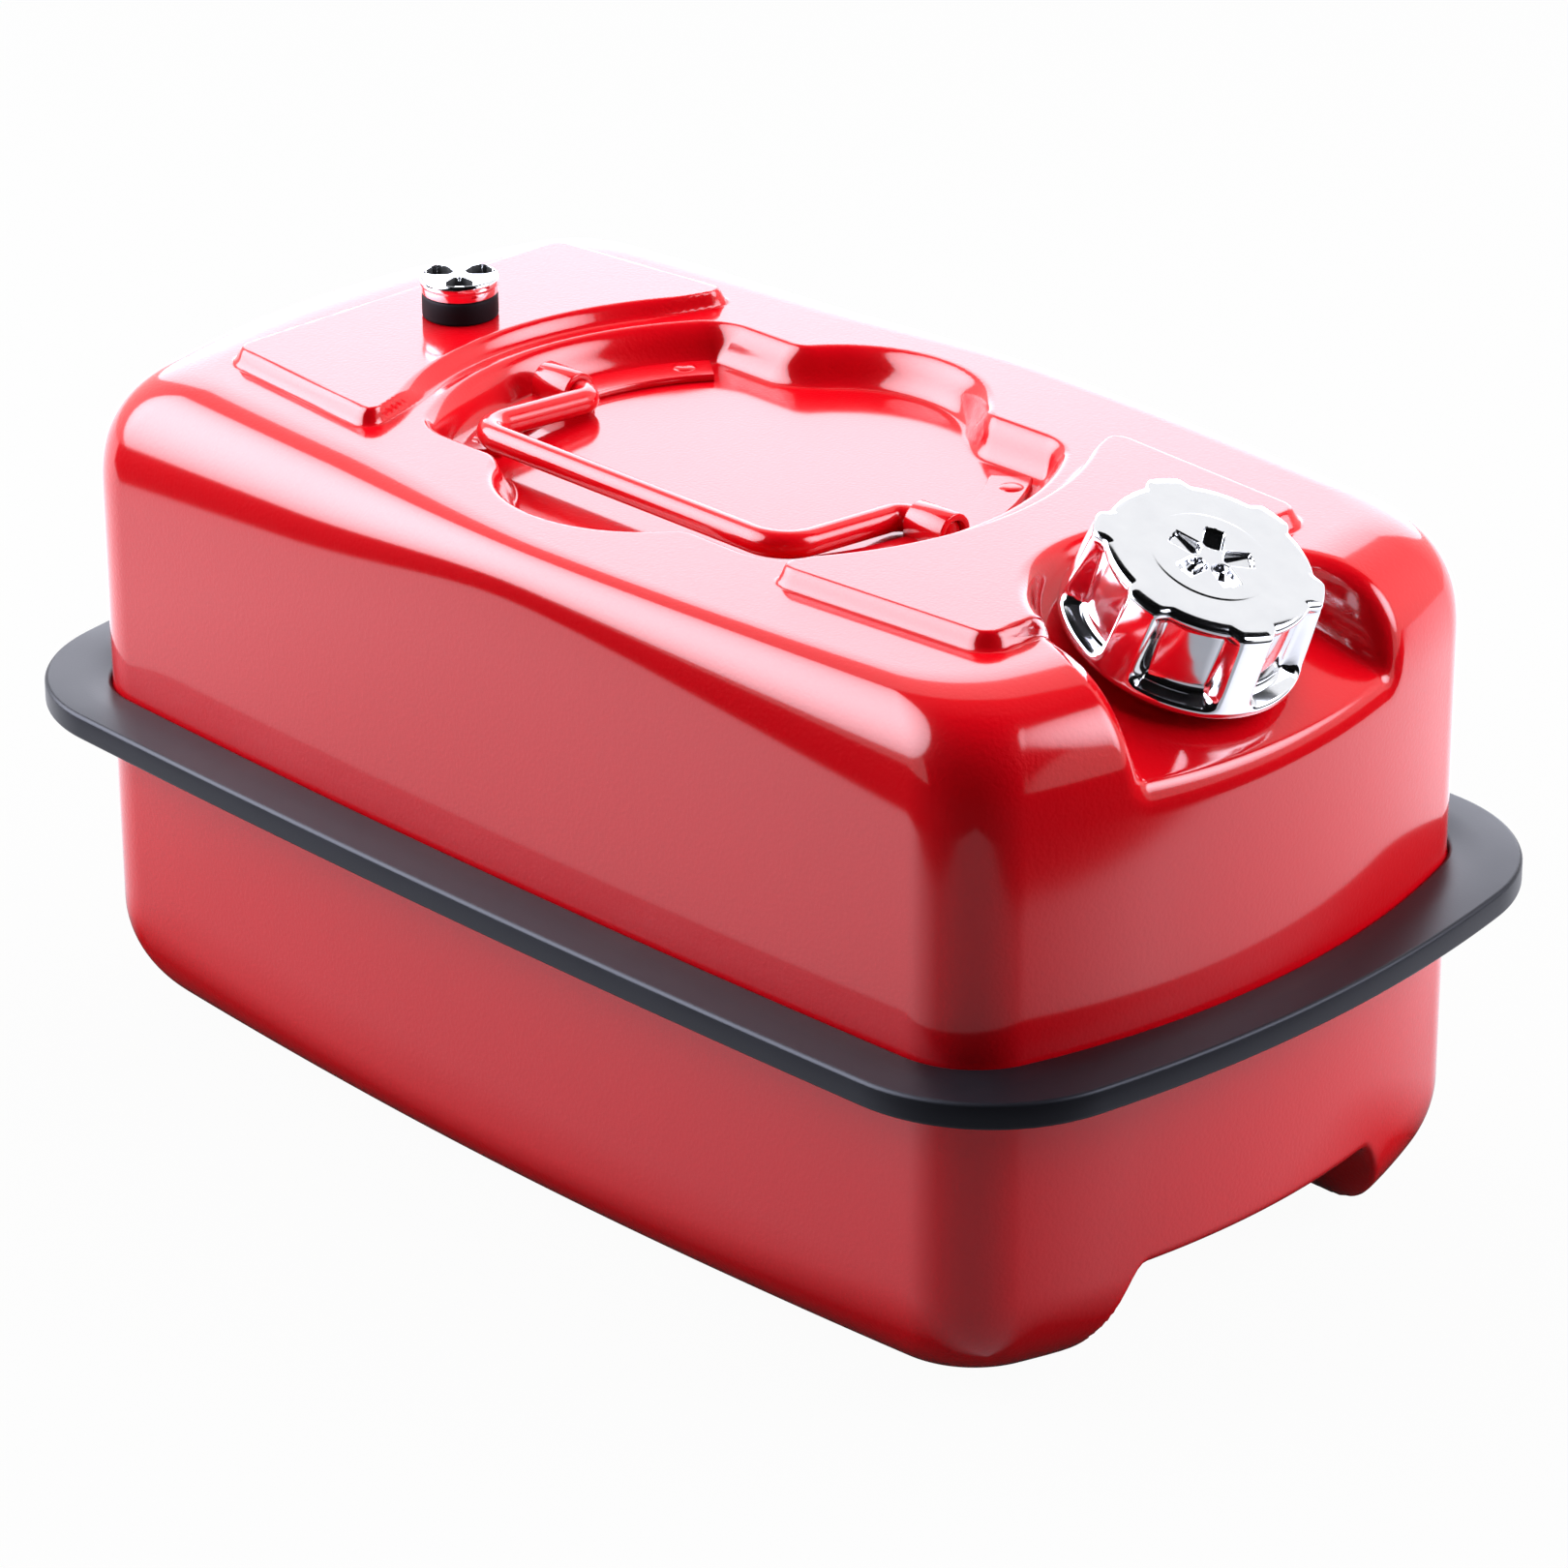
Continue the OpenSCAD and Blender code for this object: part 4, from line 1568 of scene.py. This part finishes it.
    def floor(self) -> None:
        """Lay the pale floor, which keeps a faint shadow."""
        bm = bmesh.new()
        bmesh.ops.create_grid(bm, x_segments=8, y_segments=8, size=self.floor_half)
        shader = Shader(bpy.data.materials.new("pale_floor"))
        matt = shader.node("ShaderNodeBsdfDiffuse", {}, {"Color": (*self.floor_matt, 1.0)})
        lit = {"Color": self.floor_glow(shader), "Strength": 1.0}
        glow = shader.node("ShaderNodeEmission", {}, lit)
        share = self.seen(shader) * self.floor_seen
        shader.show(shader.node("ShaderNodeMixShader", {}, {0: share, 1: matt, 2: glow}))
        self.staged("floor", bm, shader.owner)

    def floor_glow(self, shader: Shader) -> Sock:
        """Colour of the floor: white in view; in reflections, painted shade near the object and
        before it, and painted light farther out.

        Args:
            shader: Tree of the floor.

        Returns:
            The colour.
        """
        place = shader.place()
        around = shader.vector("SUBTRACT", shader.vector("ABSOLUTE", place), self.can_half)
        away = shader.vector("LENGTH", shader.vector("MAXIMUM", around), out="Value")
        from_corner = shader.vector("NORMALIZE", shader.vector("SUBTRACT", place, self.near_corner))
        toward = shader.vector("DOT_PRODUCT", from_corner, tuple(self.bearing(0.0)[0]), out="Value")
        # Painted light that grows away from the object, a painted shadow at its foot and painted
        # shade in front of it.
        open_floor = shader.blend(away * self.far_gain, self.floor_near, self.floor_far)
        open_floor = shader.blend(away * self.painted_shadow_gain, self.floor_painted_shadow, open_floor)
        front = (toward - self.front_from) * self.front_gain
        mirrored = shader.blend(front, open_floor, self.floor_painted_front_shade)
        glossy = shader.node("ShaderNodeLightPath", out="Is Glossy Ray")
        return shader.blend(glossy, (1.0, 1.0, 1.0), mirrored)

    def world(self) -> None:
        """Surround the object with white that lights it softly."""
        world = bpy.data.worlds.new("studio")
        bpy.context.scene.world = world
        shader = Shader(world)
        strength = self.world_fill + (1.0 - self.world_fill) * self.seen(shader)
        white = {"Color": (1.0, 1.0, 1.0, 1.0), "Strength": strength}
        shader.show(shader.node("ShaderNodeBackground", {}, white), "World")

    def bearing(self, degrees: float) -> tuple[Vector, Vector]:
        """Level directions by degrees from the camera, counter-clockwise from above.

        Args:
            degrees: The bearing.

        Returns:
            The direction itself and the one a quarter turn on.
        """
        turn = math.atan2(self.eye[1], self.eye[0]) + math.radians(degrees)
        cos, sin = math.cos(turn), math.sin(turn)
        return Vector((cos, sin, 0.0)), Vector((-sin, cos, 0.0))

    def aim(self, bearing: float, height: float, spread: Pair) -> tuple[Matrix, float, float]:
        """Place of a rectangle that faces the object.

        Args:
            bearing: Degrees from the camera.
            height: Degrees above the object.
            spread: Half its width and half its height in degrees, seen from the object.

        Returns:
            Its matrix, its width and its height in metres.
        """
        rise = math.radians(height)
        away = self.bearing(bearing)[0] * math.cos(rise) + Vector((0.0, 0.0, math.sin(rise)))
        width, tall = (2.0 * self.box_reach * math.tan(math.radians(half)) for half in spread)
        place = Matrix.Translation(Vector(self.centre) + away * self.box_reach)
        return place @ away.to_track_quat("Z", "Y").to_matrix().to_4x4(), width, tall

    def lamp(self, name: str, bearing: float, height: float, spread: Pair, light: float) -> None:
        """Hang one soft lamp.

        Args:
            name: Name of the lamp.
            bearing: Degrees from the camera.
            height: Degrees above the object.
            spread: Half its width and half its height in degrees.
            light: Brightness of its face.
        """
        place, width, tall = self.aim(bearing, height, spread)
        data = bpy.data.lights.new(name, "AREA")
        data.shape, data.size, data.size_y = "RECTANGLE", width, tall
        data.energy = light * math.pi * width * tall
        lamp = bpy.data.objects.new(name, data)
        lamp.matrix_world = place
        lamp.visible_camera = lamp.visible_glossy = False
        bpy.context.scene.collection.objects.link(lamp)

    def card(self, name: str, bearing: float, height: float, spread: Pair, glow: float,
             rim: float) -> None:
        """Hang one bright oval card that shiny surfaces show.

        Args:
            name: Name of the card.
            bearing: Degrees from the camera.
            height: Degrees above the object.
            spread: Half its width and half its height in degrees.
            glow: Brightness at its middle.
            rim: Share of that brightness at its rim.
        """
        place, width, tall = self.aim(bearing, height, spread)
        bm = bmesh.new()
        out = bm.verts.layers.float.new(RIM)
        made = bmesh.ops.create_circle(bm, cap_ends=True, cap_tris=True, segments=48, radius=0.5)
        for vert in made["verts"]:
            vert[out] = 2.0 * vert.co.length
        size = Matrix.Diagonal((width, tall, 1.0, 1.0))
        bmesh.ops.transform(bm, matrix=place @ size, verts=bm.verts)
        shader = Shader(bpy.data.materials.new(name))
        off = shader.node("ShaderNodeAttribute", {"attribute_name": RIM}, out="Fac")
        tone = shader.blend(off * off, self.card_tint, tuple(rim * part for part in self.card_tint))
        shine = shader.node("ShaderNodeEmission", {}, {"Color": tone, "Strength": glow})
        shader.show(shine)
        self.reflected(name, bm, shader.owner)

    def cloths(self) -> None:
        """Hang black cloth behind the camera, over the object and low around the table."""
        shader = Shader(bpy.data.materials.new("black_cloth"))
        tone = (*self.cloth_tone, 1.0)
        shader.surface({"Base Color": tone, "Roughness": 1.0, "Specular IOR Level": 0.0})
        out, side = self.bearing(0.0)
        bm = bmesh.new()
        ends = [bm.verts.new(out * self.cloth_reach + side * way * self.cloth_half)
                for way in (-1.0, 1.0)]
        edge = bm.edges.new(ends)
        bmesh.ops.spin(bm, geom=[edge, *ends], cent=(0, 0, 0), axis=-side,
                       angle=math.radians(self.cloth_arc), steps=20)
        self.reflected("cloth_behind", bm, shader.owner)
        bm = bmesh.new()
        ends = [bm.verts.new((x, y, 0.0)) for x, y in self.table_line]
        edges = [bm.edges.new(pair) for pair in zip(ends, ends[1:])]
        raised, _ = extrude_loop(bm, edges)
        bmesh.ops.translate(bm, verts=raised, vec=(0.0, 0.0, self.table_edge))
        self.reflected("cloth_low", bm, shader.owner)

    def build(self) -> None:
        """Set up the whole studio."""
        self.camera()
        self.floor()
        self.world()
        self.cloths()
        for lamp in self.lamps:
            self.lamp(*lamp)
        for card in self.cards:
            self.card(*card)
        bpy.context.scene.view_settings.view_transform = "Standard"


def dress_nodes(finishes: dict[Slot, Material]) -> None:
    """Give every CAD node that stays in view its finish.

    Args:
        finishes: Material of each slot.
    """
    kept = {"filler_neck": Slot.RED_PAINT, "vent_boss": Slot.PLATED_STEEL,
            "cap_gasket": Slot.SEAL_RUBBER, "cap_insert": Slot.BLACK_PLASTIC,
            "vent_stem": Slot.PLATED_STEEL}
    for name, slot in kept.items():
        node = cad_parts[name]
        node.data.materials.clear()
        node.data.materials.append(finishes[slot])
        LOG.info("%s: CAD node in %s", name, slot.value)


def main() -> None:
    """Build every piece in order and report it."""
    logging.basicConfig(level=logging.INFO, format="%(name)s %(message)s")
    finishes = {
        Slot.RED_PAINT: GlossPaint().build(),
        Slot.BLACK_RUBBER: BandRubber().build(),
        Slot.SEAL_RUBBER: SealRubber().build(),
        Slot.BRIGHT_CHROME: Plating().build(),
        Slot.PLATED_STEEL: TurnedSteel().build(),
        Slot.BLACK_PLASTIC: MouldedPlastic().build(),
    }
    plan = CanPlan()
    paint = finishes[Slot.RED_PAINT]
    UpperShell(plan, PressedSkin(Cuts(136, 32, 224), ease=0.8)).build(paint)
    LowerShell(plan, PressedSkin(Cuts(48, 24, 70))).build(paint)
    RubberBand(plan).build(finishes[Slot.BLACK_RUBBER])
    BailHandle().build(paint)
    for side in Side:
        Bracket(side).build(paint)
    FillerCap().build(finishes[Slot.BRIGHT_CHROME])
    Breather().build(finishes[Slot.BRIGHT_CHROME], finishes[Slot.SEAL_RUBBER],
                     finishes[Slot.BLACK_PLASTIC])
    dress_nodes(finishes)
    Studio().build()


if __name__ == "__main__":
    main()
